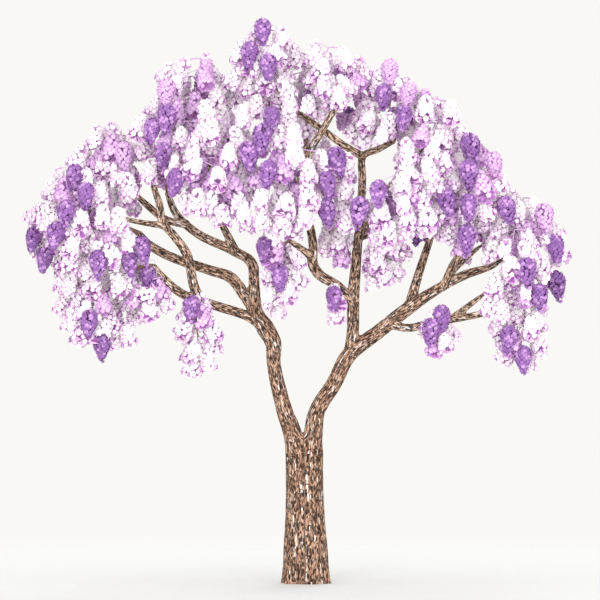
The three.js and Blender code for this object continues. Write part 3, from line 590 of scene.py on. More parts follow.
# the finer sprays between them: wherever there is room in the same space
def fineSprays(mass, seed, rule, before):
    spray = offered(mass, seed, rule)
    middle, ball = spray["middle"], rule["mouth"] * spray["size"] * balls["fine"]
    good = inSpace(mass, middle, ball) & clearOfWood(mass, middle, ball * balls["fineWood"], 0)
    if mass.get("view", 0) > -1:
        good &= clearOfView(middle, ball, mass.get("view", 0))
    taken = list(before)
    kept = []
    for i in np.flatnonzero(good):
        if len(kept) >= mass["sprays"] * rule["each"]:
            break
        if np.linalg.norm(np.array(taken) - middle[i], axis=1).min() > rule["apart"]:
            kept.append(i)
            taken.append(middle[i])
    return picked(spray, kept)


def between(start, end, along):
    return [start + (end - start) * share for share in along]


def jointsAlong(rings, along):
    return [point for start, end in linesOf(rings[:, :3]) for point in between(start, end, along)]


# whether a twig's line keeps to its space and touches no limb, spray or other twig
def clearRun(mass, line, own, bells, grown):
    for i in range(len(line) - 1):
        points = np.array(between(line[i], line[i + 1], twigShares["tested"]))
        if not inSpace(mass, points, gaps["twig"]).all():
            return False
        if not clearOfWood(mass, points, gaps["twigWood"]).all():
            return False
        near = np.array([skinGap(points, linesOf(rings))[0].min(1) < gaps["twig"] for rings in bells])
        near[own, 2] = False
        if near.any():
            return False
        if any(skinGap(points, linesOf(twig))[0].min() < gaps["twig"] for twig in grown):
            return False
    return True


# the twigs that carry a mass's first sprays, by the same rule as its solid
def firstTwigs(mass, spray, rule):
    start = mass["stem"][0, :3]
    order = np.linalg.norm(spray["middle"] - start, axis=1).argsort(kind="stable")
    joints = jointsAlong(mass["stem"], twigShares["first"])[1:]
    kept, twigs = [], []
    for i in order:
        neck = spray["rings"][i, 0]
        joints.sort(key=lambda joint: np.linalg.norm(joint - neck[:3]))
        for at, joint in enumerate(joints):
            run = np.linalg.norm(joint - neck[:3])
            if not rule["shortest"] <= run <= rule["longest"]:
                continue
            line = [joint, neck[:3]] if run <= rule["bends"] else [joint, spray["elbow"][i], neck[:3]]
            if not clearRun(mass, line, i, spray["rings"], twigs):
                continue
            joints.pop(at)
            twig = np.array([[*point, rule["tip"]] for point in line])
            twig[0, 3] = rule["foot"]
            joints += jointsAlong(twig, twigShares["first"])
            kept.append(i)
            twigs.append(twig)
            break
    return kept, twigs


# twigs for the finer sprays: each leaves the nearest joint that it has a free way from, or a
# further one if its way then crosses no bare limb as seen from the front
def fineTwigs(mass, spray, rule, before):
    joints = jointsAlong(mass["stem"], twigShares["stem"])
    for twig in before:
        joints += jointsAlong(twig, twigShares["carried"])
    joints = np.array(joints)
    order = np.linalg.norm(spray["middle"] - mass["stem"][-1, :3], axis=1).argsort()
    kept, twigs = [], []
    for i in order:
        neck, elbow = spray["rings"][i, 0, :3], spray["elbow"][i]
        run = np.linalg.norm(joints - neck, axis=1)
        found = None
        for at in run.argsort()[:rule["asks"]]:
            if not rule["shortest"] <= run[at] <= rule["longest"]:
                continue
            line = [joints[at], neck] if run[at] <= rule["bends"] else [joints[at], elbow, neck]
            points = np.array([line[0] * 0.5 + line[1] * 0.5, line[0] * 0.1 + line[1] * 0.9])
            if not inSpace(mass, points, -rule["slack"]).all():
                continue
            if not clearOfWood(mass, points, gaps["fineWood"], 0).all():
                continue
            points = np.array(between(line[0], line[1], twigShares["seen"]))
            aside = clearOfView(points, gaps["fineView"], 0).all()
            if found is None or aside:
                found = line
            if aside:
                break
        if found is not None:
            twig = np.array([[*point, rule["tip"]] for point in found])
            twig[0, 3] = rule["foot"]
            twigs.append(twig)
            kept.append(i)
            joints = np.vstack([joints, jointsAlong(twig, twigShares["fine"])])
    return kept, twigs


# a spray of its own colour at a place seen from the front, as near to the front as its mass allows
def placedSpray(place, rule, edge):
    best = None
    for name, mass in masses.items():
        heart = mass["middle"]
        reach = mass["reach"] - rule["mouth"] * balls["placed"]
        for share in placing["depths"]:
            scale = (viewer["distance"] + heart[1] - reach[1] * share) / viewer["distance"]
            x, z = place[0] * scale, viewer["height"] + (place[1] - viewer["height"]) * scale
            flat = ((x - heart[0]) / reach[0]) ** 2 + ((z - heart[2]) / reach[2]) ** 2
            if flat >= edge:
                continue
            point = np.array([[x, heart[1] - reach[1] * share * math.sqrt(max(0, 1 - flat)), z]])
            if len(place) > 2 and point[0, 1] < place[2]:
                continue
            if not besideMasses(mass, point, placing["beside"]).all():
                continue
            if not clearOfWood(mass, point, placing["wood"], 0).all():
                continue
            if best is None or point[0, 1] < best[1][1]:
                best = (name, point[0])
            break
    return best


def placeSprays():
    for mass in masses.values():
        mass["placed"] = {"pale": [], "orchid": [], "violet": []}
    for tone, places in (("violet", violetPlaces), ("orchid", orchidPlaces), ("pale", palePlaces)):
        for place in places:
            found = (placedSpray(place, placedGrowth, placing["edge"])
                     or placedSpray(place, placedGrowth, placing["farEdge"]))
            if found:
                masses[found[0]]["placed"][tone].append(found[1])
            else:
                print("no mass holds the", tone, "spray at", place)


# the sprays that a mass has at places of their own, all of one colour, on twigs of their own
def growPlaced(name, spots, rule, tone, seed):
    mass = masses[name]
    draw = seeded(seed)
    out = unit(spots - mass["middle"]) * placing["lean"]
    way = unit(np.column_stack([out[:, 0], out[:, 1], np.full(len(out), -placing["nod"])]))
    size = np.array([placing["least"] + placing["more"] * draw() for _ in spots])
    spray = shaped(spots, way, size, rule)
    spray["tone"] = np.full(len(spots), tone)
    kept, twigs = fineTwigs(mass, spray, rule, mass["twigs"])
    mass["twigs"] += twigs
    if len(kept) < len(spots):
        print(name, "carries", len(kept), "of its", len(spots), "sprays of their own colour")
    return picked(spray, kept)


def makeCrown():
    global shownLines, ownColour
    growLimbs()
    shownLines = viewedLines()
    for mass in masses.values():
        mass["stem"] = stemOf(mass)
    limbLines = [linesOf(limb["rings"]) for limb in limbs.values()]
    for mass in masses.values():
        others = [linesOf(other["stem"]) for other in masses.values() if other is not mass]
        mass["wood"] = np.concatenate(limbLines + others)
    placeSprays()
    ownColour = np.array([spot for mass in masses.values() for tone in ("orchid", "violet")
                          for spot in mass["placed"][tone]])
    for i, (name, mass) in enumerate(masses.items()):
        first = firstSprays(mass, seeds["first"] + i, firstGrowth)
        kept, mass["twigs"] = firstTwigs(mass, first, firstGrowth)
        first = picked(first, kept)
        first["tone"] = dealt(mass, first, seeds["firstTone"] + i)
        groups = [(first, firstGrowth)]
        for tone, (word, rule) in enumerate((("pale", coverGrowth), ("orchid", placedGrowth),
                                             ("violet", placedGrowth))):
            if mass["placed"][word]:
                seed = seeds["placed"] + i + seeds["nextTone"] * tone
                groups.append((growPlaced(name, np.array(mass["placed"][word]), rule, tone, seed), rule))
        before = np.concatenate([group["middle"] for group, _ in groups])
        fine = fineSprays(mass, seeds["fine"] + i, fineGrowth, before)
        kept, mass["fineTwigs"] = fineTwigs(mass, fine, fineGrowth, mass["twigs"])
        fine = picked(fine, kept)
        fine["tone"] = dealt(mass, fine, seeds["fineTone"] + i)
        mass["groups"] = groups + [(fine, fineGrowth)]


# colours dealt out by spray: 0 pale lilac, 1 orchid, 2 violet; deeper ones inside, as painted shade in the
# crown's depth, and at the back
def dealt(mass, spray, seed):
    draw = seeded(seed)
    outward = np.linalg.norm((spray["middle"] - mass["middle"]) / mass["reach"], axis=1)
    tones = []
    for depth, out in zip(spray["middle"][:, 1], outward):
        # inside a mass, orchid comes more often: painted shade
        inside = "inner" if out < dealing["innerTo"] else "outer"
        violet, orchid = dealing["back" if depth > dealing["backFrom"] else inside]
        dice = draw()
        tones.append(2 if dice < violet else 1 if dice < orchid else 0)
    return np.array(tones)


makeCrown()
print("sprays:", sum(len(g["size"]) for m in masses.values() for g, _ in m["groups"]))


# a mesh object from arrays: points, three corners for each face, and a material for each face
def makeMesh(name, points, corners, materials, tones=None, smooth=False):
    mesh = bpy.data.meshes.new(name)
    mesh.vertices.add(len(points))
    mesh.vertices.foreach_set("co", np.ascontiguousarray(points, np.float32).ravel())
    mesh.loops.add(corners.size)
    mesh.loops.foreach_set("vertex_index", np.ascontiguousarray(corners, np.int32).ravel())
    mesh.polygons.add(len(corners))
    mesh.polygons.foreach_set("loop_start", np.arange(0, corners.size, 3, dtype=np.int32))
    for material in materials:
        mesh.materials.append(material)
    if tones is not None:
        mesh.polygons.foreach_set("material_index", np.ascontiguousarray(tones, np.int32))
    mesh.polygons.foreach_set("use_smooth", np.full(len(corners), smooth))
    mesh.update(calc_edges=True)
    made = bpy.data.objects.new(name, mesh)
    bpy.context.scene.collection.objects.link(made)
    return made


# directions square to a run of rings, carried along it without twisting
def framesOf(rings):
    ways = unit(rings[..., 1:, :3] - rings[..., :-1, :3])
    ways = np.concatenate([ways[..., :1, :], ways[..., :-1, :] + ways[..., 1:, :], ways[..., -1:, :]], -2)
    ways = unit(ways)
    side = np.broadcast_to(aslant, ways[..., 0, :].shape)
    sides = []
    for i in range(ways.shape[-2]):
        side = unit(side - (side * ways[..., i, :]).sum(-1, keepdims=True) * ways[..., i, :])
        sides.append(side)
    sides = np.stack(sides, -2)
    return sides, np.cross(ways, sides)


# three corners a face for a closed tube of rings of points
def tubeFaces(steps, count):
    a = np.arange(count)
    b = (a + 1) % count
    faces = []
    for i in range(steps - 1):
        low, high = i * count, (i + 1) * count
        faces.append(np.column_stack([a + low, b + low, b + high]))
        faces.append(np.column_stack([a + low, b + high, a + high]))
    fan = np.arange(1, count - 1)
    faces.append(np.column_stack([fan * 0, fan + 1, fan]))
    faces.append(np.column_stack([fan * 0, fan, fan + 1]) + (steps - 1) * count)
    return np.concatenate(faces)


# closed tubes through many runs of rings of the same length: points, and three corners a face
def tubes(rings, count):
    across, up = framesOf(rings)
    turn = np.arange(count) * 2 * math.pi / count
    out = np.cos(turn)[:, None] * across[..., None, :] + np.sin(turn)[:, None] * up[..., None, :]
    points = rings[..., None, :3] + out * rings[..., None, 3:]
    steps = rings.shape[1]
    whole = tubeFaces(steps, count)[None] + (np.arange(len(rings)) * steps * count)[:, None, None]
    return points.reshape(-1, 3), whole.reshape(-1, 3)


def together(parts):
    points, faces, start = [], [], 0
    for some, corners in parts:
        points.append(some)
        faces.append(corners + start)
        start += len(some)
    return np.concatenate(points), np.concatenate(faces)


# cells of uneven size: how far each point is from the border of its cell
def cells(points, seed):
    base = np.floor(points).astype(np.int64)
    first = np.full(len(points), 9.0)
    second = np.full(len(points), 9.0)
    for shift in np.ndindex(3, 3, 3):
        # large primes make a number of its own for each cell, and from it a point in the cell
        cell = base + np.array(shift) - 1
        mixed = (cell @ np.array([73856093, 19349663, 83492791]) + seed) & 0x7FFFFFFF
        drawn = []
        for turn in range(3):
            mixed = (mixed * 1103515245 + 12345 + turn) & 0x7FFFFFFF
            mixed ^= mixed >> 13
            drawn.append((mixed & 0xFFFF) / 65536)
        far = np.linalg.norm(points - cell - np.column_stack(drawn), axis=1)
        second = np.where(far < first, first, np.minimum(second, far))
        first = np.minimum(first, far)
    return second - first


# bark: its plates run along the wood; across, across and along in metres
bark = {
    "voxel": 0.0213, "smooth": 0.5, "times": 4, "sides": 20, "step": 0.07, "collar": 0.3, "collarRun": 0.14,
    "stout": 0.14, "swell": 0.36,
    "plate": (0.07, 0.07, 0.3), "plateEdge": 0.4, "plateRound": 0.6, "plateShare": 0.7,
    "fibre": (0.04, 0.04, 0.22), "fibreEdge": 0.5, "fibreShare": 0.3,
    "depth": 0.012, "deepAt": 0.25, "least": 0.3, "level": 0.6,
    "scale": (26, 26, 6), "fleck": (30, 30, 10),
    # broad shift, fine grain and pale streaks: how each is stretched, its scale, detail and roughness
    "noises": (((1, 1, 0.5), 9, 2, 0.5), ((1, 1, 0.09), 110, 3, 0.6), ((1, 1, 0.05), 38, 2, 0.5)),
    "dark": tint(24, 16, 13), "brown": tint(116, 84, 67), "tan": tint(213, 171, 144),
    # the lightest tan, for thin limbs, is painted light against the shade of the crown that falls on them
    "slimLitTan": tint(255, 226, 196), "pale": tint(242, 234, 227),
}
# how the leaders' grain runs on inside the trunk, and how far apart the limbs' grains start
grain = {
    "heights": (-0.2, 2.2, 0.2), "across": 0.85, "radius": 0.3, "taper": 0.05,
    "next": 5.37, "atOnce": 8000,
}


def barkMaterial():
    shader = Shader("bark", specular=0.2)
    place, ridge, stout = (shader.node("ShaderNodeAttribute", {"attribute_name": name}, {}, output)
                           for name, output in (("alongTheGrain", 1), ("ridge", 2), ("stout", 2)))
    shift, fibre, streak = (shader.noise(shader.stretched(place, stretch), scale, detail, roughness)
                            for stretch, scale, detail, roughness in bark["noises"])
    fleck = shader.node("ShaderNodeTexVoronoi", {},
                        {"Vector": shader.stretched(place, bark["fleck"]), "Scale": 1})
    edge = shader.node("ShaderNodeTexVoronoi", {"feature": "DISTANCE_TO_EDGE"},
                       {"Vector": shader.stretched(place, bark["scale"]), "Scale": 1})
    cracked = (edge * 8.5 + (fibre - 0.5) * 1.8).held()
    # the marks of thin limbs are wider and sharper
    marked = ((fleck - 0.46 + stout * 0.07) * (12 - stout * 5) + (fibre - 0.5) * 2).held()
    height = (cracked * 0.45 + marked * 0.25 + ridge * 0.3).held()
    # ridges, grain and broad shift are wear; the stout term paints thin limbs lighter, as painted light
    # against the crown's shade
    wornAndLit = ((ridge - 0.5) * 0.9 + (fibre - 0.5) * 1.6 + (shift - 0.5) * 1.1 + 0.75 - stout * 0.35).held()
    lichen = ((streak - 0.59) * 15 - (fibre - 0.5) * 3).held()
    # thin limbs take the lighter tan: painted light against the crown's shade
    body = shader.blend(wornAndLit, bark["brown"], shader.blend(stout, bark["slimLitTan"], bark["tan"]))
    body = shader.blend(lichen, body, bark["pale"])
    shader.set("colour", shader.blend(cracked * (marked * 0.85 + 0.15), bark["dark"], body))
    shader.set("roughness", 0.95 - height * 0.2)
    shader.set("normal", shader.node("ShaderNodeBump", {},
                                     {"Strength": 0.8, "Distance": 0.012, "Height": height}))
    return shader.material


def trunkTube():
    # heights go below the ground, where the foot is cut flat afterwards
    top = trunk["height"][-1]
    heights = np.concatenate([[-trunk["below"]], np.arange(0, top, trunk["step"]), [top]])
    turn = np.arange(trunk["round"]) * 2 * math.pi / trunk["round"]
    fade = np.maximum(0, 1 - np.maximum(heights, 0) / trunk["fadesBy"]) ** 2
    swell = 1 + trunk["swell"] * fade[:, None] * np.cos(trunk["lobes"] * (turn + trunk["turn"]))
    across = np.interp(heights, trunk["height"], trunk["across"])[:, None] * swell
    depth = np.interp(heights, trunk["height"], trunk["depth"])[:, None] * swell
    points = np.stack([across * np.cos(turn) + trunk["lean"] * heights[:, None], depth * np.sin(turn),
                       np.broadcast_to(heights[:, None], across.shape)], -1)
    return points.reshape(-1, 3), tubeFaces(*points.shape[:2])


# how far along its line each ring lies
def runOf(rings):
    return np.concatenate([[0], np.cumsum(np.linalg.norm(np.diff(rings[:, :3], axis=0), axis=1))])


# a limb with finer rings than its tests need, and a collar where it leaves its carrier
def fineLimb(limb):
    line = np.array(limb["line"], float)
    length = np.linalg.norm(np.diff(line[:, :3], axis=0), axis=1).sum()
    rings = ringsOf(limb["line"], math.ceil(length / bark["step"]))
    # bark adds more to thin limbs than to thick ones
    rings[:, 3] *= 1 + bark["swell"] * np.clip(1 - rings[:, 3] / bark["stout"], 0, 1)
    if limb["on"] != "trunk":
        rings[:, 3] *= 1 + bark["collar"] * np.exp(-runOf(rings) / bark["collarRun"])
    return rings


def changed(made, modifiers):
    for kind, settings in modifiers:
        modifier = made.modifiers.new(kind.title(), kind)
        for name, value in settings.items():
            setattr(modifier, name, value)
    mesh = bpy.data.meshes.new_from_object(made.evaluated_get(bpy.context.evaluated_depsgraph_get()))
    made.modifiers.clear()
    made.data = mesh
    return made


# each point of the wood as it would lie on straightened limbs, and how thick the limb is there
def straightened(points):
    runs = []
    for i, limb in enumerate(limbs.values()):
        rings = limb["fine"][::2]
        if limb["on"] == "trunk":
            # the grain of both leaders runs on down through the trunk
            heights = np.arange(*grain["heights"])
            radius = grain["radius"] - grain["taper"] * heights
            level = heights * 0
            foot = np.column_stack([level + rings[0, 0] * grain["across"], level, heights, radius])
            rings = np.vstack([foot, rings])
        along = runOf(rings) + i * grain["next"]
        runs.append([linesOf(values) for values in (rings, *framesOf(rings), along)])
    lines, sides, ups, starts = (np.concatenate(values) for values in zip(*runs))
    place, thick = np.zeros((len(points), 3)), np.zeros(len(points))
    for low in range(0, len(points), grain["atOnce"]):
        part = slice(low, low + grain["atOnce"])
        gap, near = skinGap(points[part], lines)
        best = gap.argmin(1)
        here = near[np.arange(len(best)), best]
        a, b = lines[best, 0, :3], lines[best, 1, :3]
        share = np.linalg.norm(here[:, :3] - a, axis=1) / np.linalg.norm(b - a, axis=1)
        across, up = (ways[best, 0] + share[:, None] * (ways[best, 1] - ways[best, 0])
                      for ways in (sides, ups))
        out = unit(points[part] - here[:, :3])
        along = starts[best, 0] + share * (starts[best, 1] - starts[best, 0])
        place[part] = np.column_stack([(out * across).sum(1) * here[:, 3],
                                       (out * up).sum(1) * here[:, 3], along])
        thick[part] = here[:, 3]
    return place, thick


def makeWood():
    parts = [trunkTube()]
    for limb in limbs.values():
        limb["fine"] = fineLimb(limb)
        parts.append(tubes(limb["fine"][None], bark["sides"]))
    points, faces = together(parts)
    wood = makeMesh("trunk_and_boughs", points, faces, [])
    changed(wood, [("REMESH", {"mode": "VOXEL", "voxel_size": bark["voxel"], "use_smooth_shade": True}),
                   ("SMOOTH", {"factor": bark["smooth"], "iterations": bark["times"]})])
    mesh = wood.data
    points, normals = np.zeros((2, len(mesh.vertices) * 3), np.float32)
    mesh.vertices.foreach_get("co", points)
    mesh.vertex_normals.foreach_get("vector", normals)
    points, normals = points.reshape(-1, 3).astype(float), normals.reshape(-1, 3)
    place, thick = straightened(points)
    border, fibre = cells(place / bark["plate"], 11), cells(place / bark["fibre"], 29)
    ridge = np.clip(border / bark["plateEdge"], 0, 1) ** bark["plateRound"] * bark["plateShare"]
    ridge += np.clip(fibre / bark["fibreEdge"], 0, 1) * bark["fibreShare"]
    depth = bark["depth"] * np.clip(thick / bark["deepAt"], bark["least"], 1)
    points += normals * ((ridge - bark["level"]) * depth)[:, None]
    mesh.vertices.foreach_set("co", points.astype(np.float32).ravel())
    stout = np.clip(thick / bark["stout"], 0, 1)
    for name, kind, values in (("alongTheGrain", "FLOAT_VECTOR", place), ("ridge", "FLOAT", ridge),
                               ("stout", "FLOAT", stout)):
        layer = mesh.attributes.new(name, kind, "POINT")
        layer.data.foreach_set("vector" if kind == "FLOAT_VECTOR" else "value",
                               values.astype(np.float32).ravel())
    cut = bmesh.new()
    cut.from_mesh(mesh)
    bmesh.ops.bisect_plane(cut, geom=cut.verts[:] + cut.edges[:] + cut.faces[:], plane_co=(0, 0, 0),
                           plane_no=(0, 0, -1), clear_outer=True)
    bmesh.ops.holes_fill(cut, edges=[edge for edge in cut.edges if edge.is_boundary])
    cut.to_mesh(mesh)
    cut.free()
    mesh.materials.append(barkMaterial())
    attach(wood, "root")
    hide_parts("trunk", *limbs)
    print("wood:", sum(len(face.vertices) - 2 for face in mesh.polygons), "triangles")


# one flower: a plain trumpet that widens from its foot, with a throat and five lobes
flower = {
    "mouth": 0.034, "lobe": 0.049, "flare": 0.008, "sides": 5, "lobeEdges": (0.22, 0.78),
    "bud": 0.03, "budWidth": 0.014, "least": 0.85, "more": 0.3,
}
# how flowers stand round a spray: each a turn on from the last, the lowest ones hanging
whorl = {
    "turn": 2.39996, "whole": 6.283, "uneven": 0.3, "above": 0.06, "shift": 0.04, "inset": 0.02,
    "nearest": 0.93, "further": 0.14, "out": 0.14, "hang": 0.08, "highest": 0.1,
    "fringe": 0.76, "under": 0.9, "scallop": 0.05, "scallops": 3, "scallopFrom": 0.6,
    "lips": 0.7, "buds": 0.06, "budsTo": 0.5, "steps": 50,
}
# how far flowers may stand past their mass's reach, and the room that they leave
keeping = {"past": 0.02, "placedReach": 1.18, "wood": -0.01, "view": 0.8, "taller": 1.3, "around": 0.2}
mostFaces = 190000  # in one piece
colours = {  # tube, lobes, throat
    "pale": (tint(218, 178, 218), tint(238, 230, 236), tint(240, 234, 236)),
    "rim": (tint(162, 92, 171), tint(213, 172, 214), tint(238, 227, 235)),
    "orchid": (tint(182, 124, 192), tint(206, 162, 211), tint(218, 186, 221)),
    "violet": (tint(110, 56, 130), tint(134, 88, 155), tint(144, 102, 164)),
    "lip": (tint(152, 98, 168), tint(174, 128, 188), tint(188, 146, 199)),
    "bud": (tint(196, 132, 204), tint(196, 132, 204), tint(196, 132, 204)),
}


# where each flower of some sprays sits: its foot on the spray's axis, its mouth, and its kind
def flowersOf(spray, rule, seed):
    count, rows = rule["flowers"], len(spray["size"])
    dice = np.random.default_rng(seed).random((rows, count, 5))
    # the flowers stand equally close all over the outline that they turn round
    along, width = np.array(rule["outline"]).T
    steps = np.linspace(0, 1, whorl["steps"])
    area = np.cumsum(np.interp(steps, along, width))
    share = np.interp((np.arange(count) + 0.5) / count, area / area[-1], steps)
    neck, way = spray["rings"][:, 0, :3], spray["way"]
    long = (rule["long"] * spray["size"])[:, None]
    wide = (rule["mouth"] * spray["size"])[:, None] - whorl["inset"]
    side = unit(np.cross(way, aslant))
    up = np.cross(way, side)
    turn = np.arange(count) * whorl["turn"] + dice[:, :1, 0] * whorl["whole"]
    turn = turn + (dice[..., 1] - 0.5) * whorl["uneven"]
    out = np.cos(turn)[..., None] * side[:, None] + np.sin(turn)[..., None] * up[:, None]
    down = (1 + whorl["above"]) * share - whorl["above"] + (dice[..., 2] - 0.5) * whorl["shift"]
    lower = np.maximum(0, share - whorl["scallopFrom"]) / (1 - whorl["scallopFrom"])
    down += whorl["scallop"] * np.cos(whorl["scallops"] * turn) * lower
    reach = wide * np.interp(share, along, width) * (whorl["nearest"] + whorl["further"] * dice[..., 3])
    mouth = neck[:, None] + way[:, None] * (long * down)[..., None] + out * reach[..., None]
    low = share > whorl["fringe"]
    back = np.where(low, whorl["hang"], whorl["out"])
    foot = neck[:, None] + way[:, None] * (long * np.maximum(down - back, whorl["highest"]))[..., None]
    # kinds in the order of the colours: 0 pale, 1 rim, 2 orchid, 3 violet, 4 lip, 5 bud
    tone = np.repeat(spray["tone"][:, None], count, 1)
    edge = low & (share < whorl["under"])
    kind = np.select([tone == 2, tone == 1], [np.where(dice[..., 4] > whorl["lips"], 4, 3), 2],
                     np.where(edge, 1, 0)[None])
    kind = np.where((dice[..., 4] < whorl["buds"]) & (share < whorl["budsTo"]), 5, kind)
    size = rule["flower"] * (flower["least"] + flower["more"] * dice[..., 0])
    return foot.reshape(-1, 3), mouth.reshape(-1, 3), kind.ravel(), size.ravel()


# whether each flower stays in its mass's reach, off the wood and the open view, and lets the
# sprays of their own colour be seen
def flowersClear(mass, rule, mouth, size):
    wide = flower["lobe"] * size
    heart, reach = mass["middle"], mass["reach"]
    over = keeping["placedReach"] if rule in (placedGrowth, coverGrowth) else 1
    clear = np.linalg.norm((mouth - heart) / (reach + keeping["past"]), axis=1) <= over
    clear &= clearOfWood(mass, mouth, wide, keeping["wood"])
    if rule is placedGrowth:
        return clear
    if mass.get("view", 0) > -1 and rule is not coverGrowth:
        clear &= clearOfView(mouth, wide * keeping["view"], 0)
    seen = fromTheFront(mouth)
    for spot, front in zip(fromTheFront(ownColour), ownColour[:, 1]):
        apart = np.linalg.norm((seen - spot) / (1, keeping["taller"]), axis=1)
        clear &= (apart > keeping["around"]) | (mouth[:, 1] > front)
    return clear


# points and faces of many flowers at once, with a material number for each face
def flowerMesh(foot, mouth, size, bud):
    way = unit(mouth - foot)
    side = unit(np.cross(way, lobesFrom))
    up = np.cross(way, side)
    sides = flower["sides"]
    ring = np.arange(sides) / sides
    lobes = (np.arange(sides)[:, None] + flower["lobeEdges"]).ravel() / sides
    rows = [(flower["bud"], flower["budWidth"], ring)] if bud else [
        (0, flower["mouth"], ring), (-flower["flare"], flower["lobe"], lobes)]
    points = [foot[:, None]]
    for back, thick, turn in rows:
        turn = turn * 2 * math.pi
        out = np.cos(turn)[:, None] * side[:, None] + np.sin(turn)[:, None] * up[:, None]
        points.append((mouth - way * (back * size)[:, None])[:, None] + out * (thick * size)[:, None, None])
    a = np.arange(sides)
    b = (a + 1) % sides
    faces = [np.column_stack([a * 0, b + 1, a + 1])]
    if bud:
        points.append(mouth[:, None])
        faces.append(np.column_stack([a + 1, b + 1, a * 0 + 1 + sides]))
        tones = [0] * 2 * sides
    else:
        tips = 2 * a + 1 + sides
        fan = np.arange(1, sides - 1)
        faces += [np.column_stack([a + 1, tips, tips + 1]), np.column_stack([a + 1, tips + 1, b + 1]),
                  np.column_stack([fan * 0, fan, fan + 1]) + 1]
        tones = [0] * sides + [1] * 2 * sides + [2] * (sides - 2)
    points, faces = np.concatenate(points, 1), np.concatenate(faces)
    whole = faces[None] + (np.arange(len(foot)) * points.shape[1])[:, None, None]
    return points.reshape(-1, 3), whole.reshape(-1, 3), np.tile(tones, len(foot))


def petalMaterials(kind):
    tube, lobes, throat = colours[kind]
    finish = {"roughness": 0.55, "specular": 0.2, "sheen": 0.15}
    return [Shader(f"{kind}{part}", colour=colour, **finish).material
            for part, colour in (("Tube", tube), ("Lobe", lobes), ("Throat", throat))]


def makeFlowers():
    found = {kind: [] for kind in colours}
    for i, (name, mass) in enumerate(masses.items()):
        for j, (spray, rule) in enumerate(mass["groups"]):
            if not len(spray["size"]):
                continue
            foot, mouth, kind, size = flowersOf(spray, rule, 1000 * i + j)
            clear = flowersClear(mass, rule, mouth, size)
            for number, word in enumerate(colours):
                own = clear & (kind == number)
                found[word].append((foot[own], mouth[own], size[own], name))
    total = 0
    for word, groups in found.items():
        materials = petalMaterials(word)
        each = 10 if word == "bud" else 18  # faces
        foot, mouth, size = (np.concatenate([group[k] for group in groups]) for k in range(3))
        owner = np.repeat(np.arange(len(groups)), [len(group[2]) for group in groups])
        for part, low in enumerate(range(0, len(foot), mostFaces // each)):
            some = slice(low, low + mostFaces // each)
            points, faces, tones = flowerMesh(foot[some], mouth[some], size[some], word == "bud")
            piece = makeMesh(f"flowers_{word}_{part + 1}", points, faces, materials, tones)
            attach(piece, "root")
            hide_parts(*sorted({groups[k][3] for k in np.unique(owner[some])}))
            total += len(faces)
        print("flowers", word, len(foot))
    print("flowers in all:", total, "faces")


# twigs: the stem of each mass, the first and the finer twigs, and the axis of every spray
twigs = {
    # sides and rings of each kind, and the place and radius of an axis's two ends
    "stem": (7, 8), "first": (5, 4), "fine": (3, 3), "axis": ((0, 0.0055), (0.7, 0.003)),
    "wood": tint(136, 104, 96), "stalk": tint(198, 160, 202),
}


# a twig's two or three points as one smooth run of rings
def bent(twig, steps):
    line = twig if len(twig) > 2 else np.array([twig[0], (twig[0] + twig[1]) / 2, twig[1]])
    return ringsOf(line, steps)


def makeTwigs():
    (stemSides, stemRings), (axisSides, _) = twigs["stem"], twigs["fine"]
    stemLines = np.stack([curveRings(*mass["curve"], stemRings) for mass in masses.values()])
    parts = [tubes(stemLines, stemSides)]
    for (sides, rings), kind in ((twigs["first"], "twigs"), (twigs["fine"], "fineTwigs")):
        runs = [bent(twig, rings) for mass in masses.values() for twig in mass[kind]]
        parts.append(tubes(np.stack(runs), sides))
    for mass in masses.values():
        for spray, rule in mass["groups"]:
            if len(spray["size"]):
                neck = spray["rings"][:, 0, :3]
                way = spray["way"] * (rule["long"] * spray["size"])[:, None]
                axis = np.stack([np.column_stack([neck + way * share, np.full(len(way), thick)])
                                 for share, thick in twigs["axis"]], 1)
                parts.append(tubes(axis, axisSides))
    points, faces = together(parts)
    materials = [Shader(name, colour=twigs[colour], roughness=0.8, specular=0.2).material
                 for name, colour in (("twig", "wood"), ("stalk", "stalk"))]
    carried = np.arange(len(faces)) >= len(parts[0][1])
    piece = makeMesh("twigs", points, faces, materials, carried, smooth=True)
    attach(piece, "root")
    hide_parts(*masses)
    print("twigs:", len(faces), "faces")


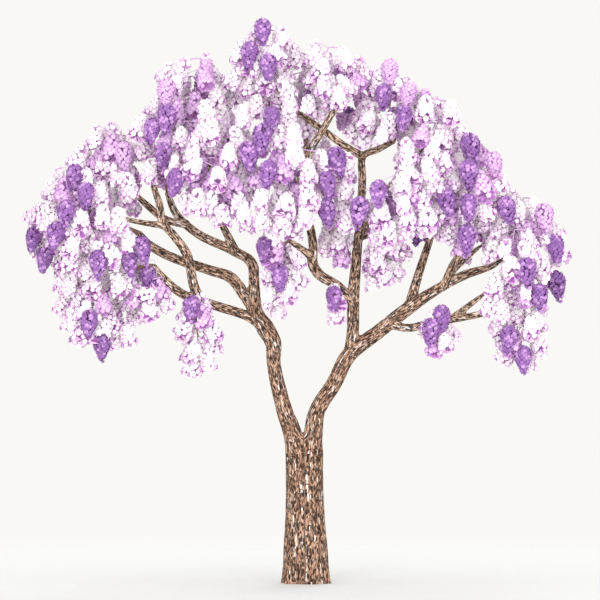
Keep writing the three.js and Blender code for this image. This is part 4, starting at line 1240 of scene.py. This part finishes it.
# a plain pale floor that fades into the sky, and soft lamps: where each stands, power and size
stage = {
    "floor": tint(233, 235, 233), "floorRadius": 19, "fadeFrom": 2.5, "round": 128, "below": 0.001,
    "sky": tint(249, 248, 245), "aim": (0, 0, 5.5),
    "key": ((-11, -64, 13), 23500, 20), "fill": ((12, -64, 6), 21500, 20), "back": ((8, 46, 48), 9500, 26),
}


def makeStage():
    count = stage["round"]
    a = np.arange(count)
    turn = a * 2 * math.pi / count
    rim = np.column_stack([np.cos(turn), np.sin(turn), turn * 0]) * stage["floorRadius"]
    points = np.vstack([[0, 0, 0], rim]) - (0, 0, stage["below"])
    shader = Shader("floor", colour=stage["floor"], roughness=1.0, specular=0.0)
    place = shader.node("ShaderNodeTexCoord", {}, {}, 3)
    far = shader.node("ShaderNodeVectorMath", {"operation": "LENGTH"}, {0: place}, 1)
    shader.set("alpha", (1 - (far - stage["fadeFrom"]) / (stage["floorRadius"] - stage["fadeFrom"])).held())
    faces = np.column_stack([a * 0, a + 1, (a + 1) % count + 1])
    floor = makeMesh("floor", points, faces, [shader.material])
    world = bpy.data.worlds.new("studio")
    world.use_nodes = True
    world.node_tree.nodes["Background"].inputs[0].default_value = stage["sky"]
    bpy.context.scene.world = world
    for name in ("key", "fill", "back"):
        spot, power, size = stage[name]
        lamp = bpy.data.lights.new(name, "AREA")
        lamp.energy, lamp.size = power, size
        light = bpy.data.objects.new(name, lamp)
        light.location = spot
        light.rotation_euler = (Vector(stage["aim"]) - Vector(spot)).to_track_quat("-Z", "Y").to_euler()
        bpy.context.scene.collection.objects.link(light)


# a long lens, level with the middle of the tree
shot = {"across": -0.108, "height": 5.094, "lens": 300, "sensor": 36, "far": 400}


def makeCamera():
    lens = bpy.data.cameras.new("camera")
    lens.sensor_width = shot["sensor"]
    lens.lens = shot["lens"]
    lens.clip_end = shot["far"]
    camera = bpy.data.objects.new("camera", lens)
    camera.location = (shot["across"], -viewer["distance"], shot["height"])
    camera.rotation_euler = (math.pi / 2, 0, 0)
    bpy.context.scene.collection.objects.link(camera)
    bpy.context.scene.camera = camera
    bpy.context.scene.view_settings.view_transform = "Standard"


makeCamera()
makeStage()
makeWood()
makeTwigs()
makeFlowers()
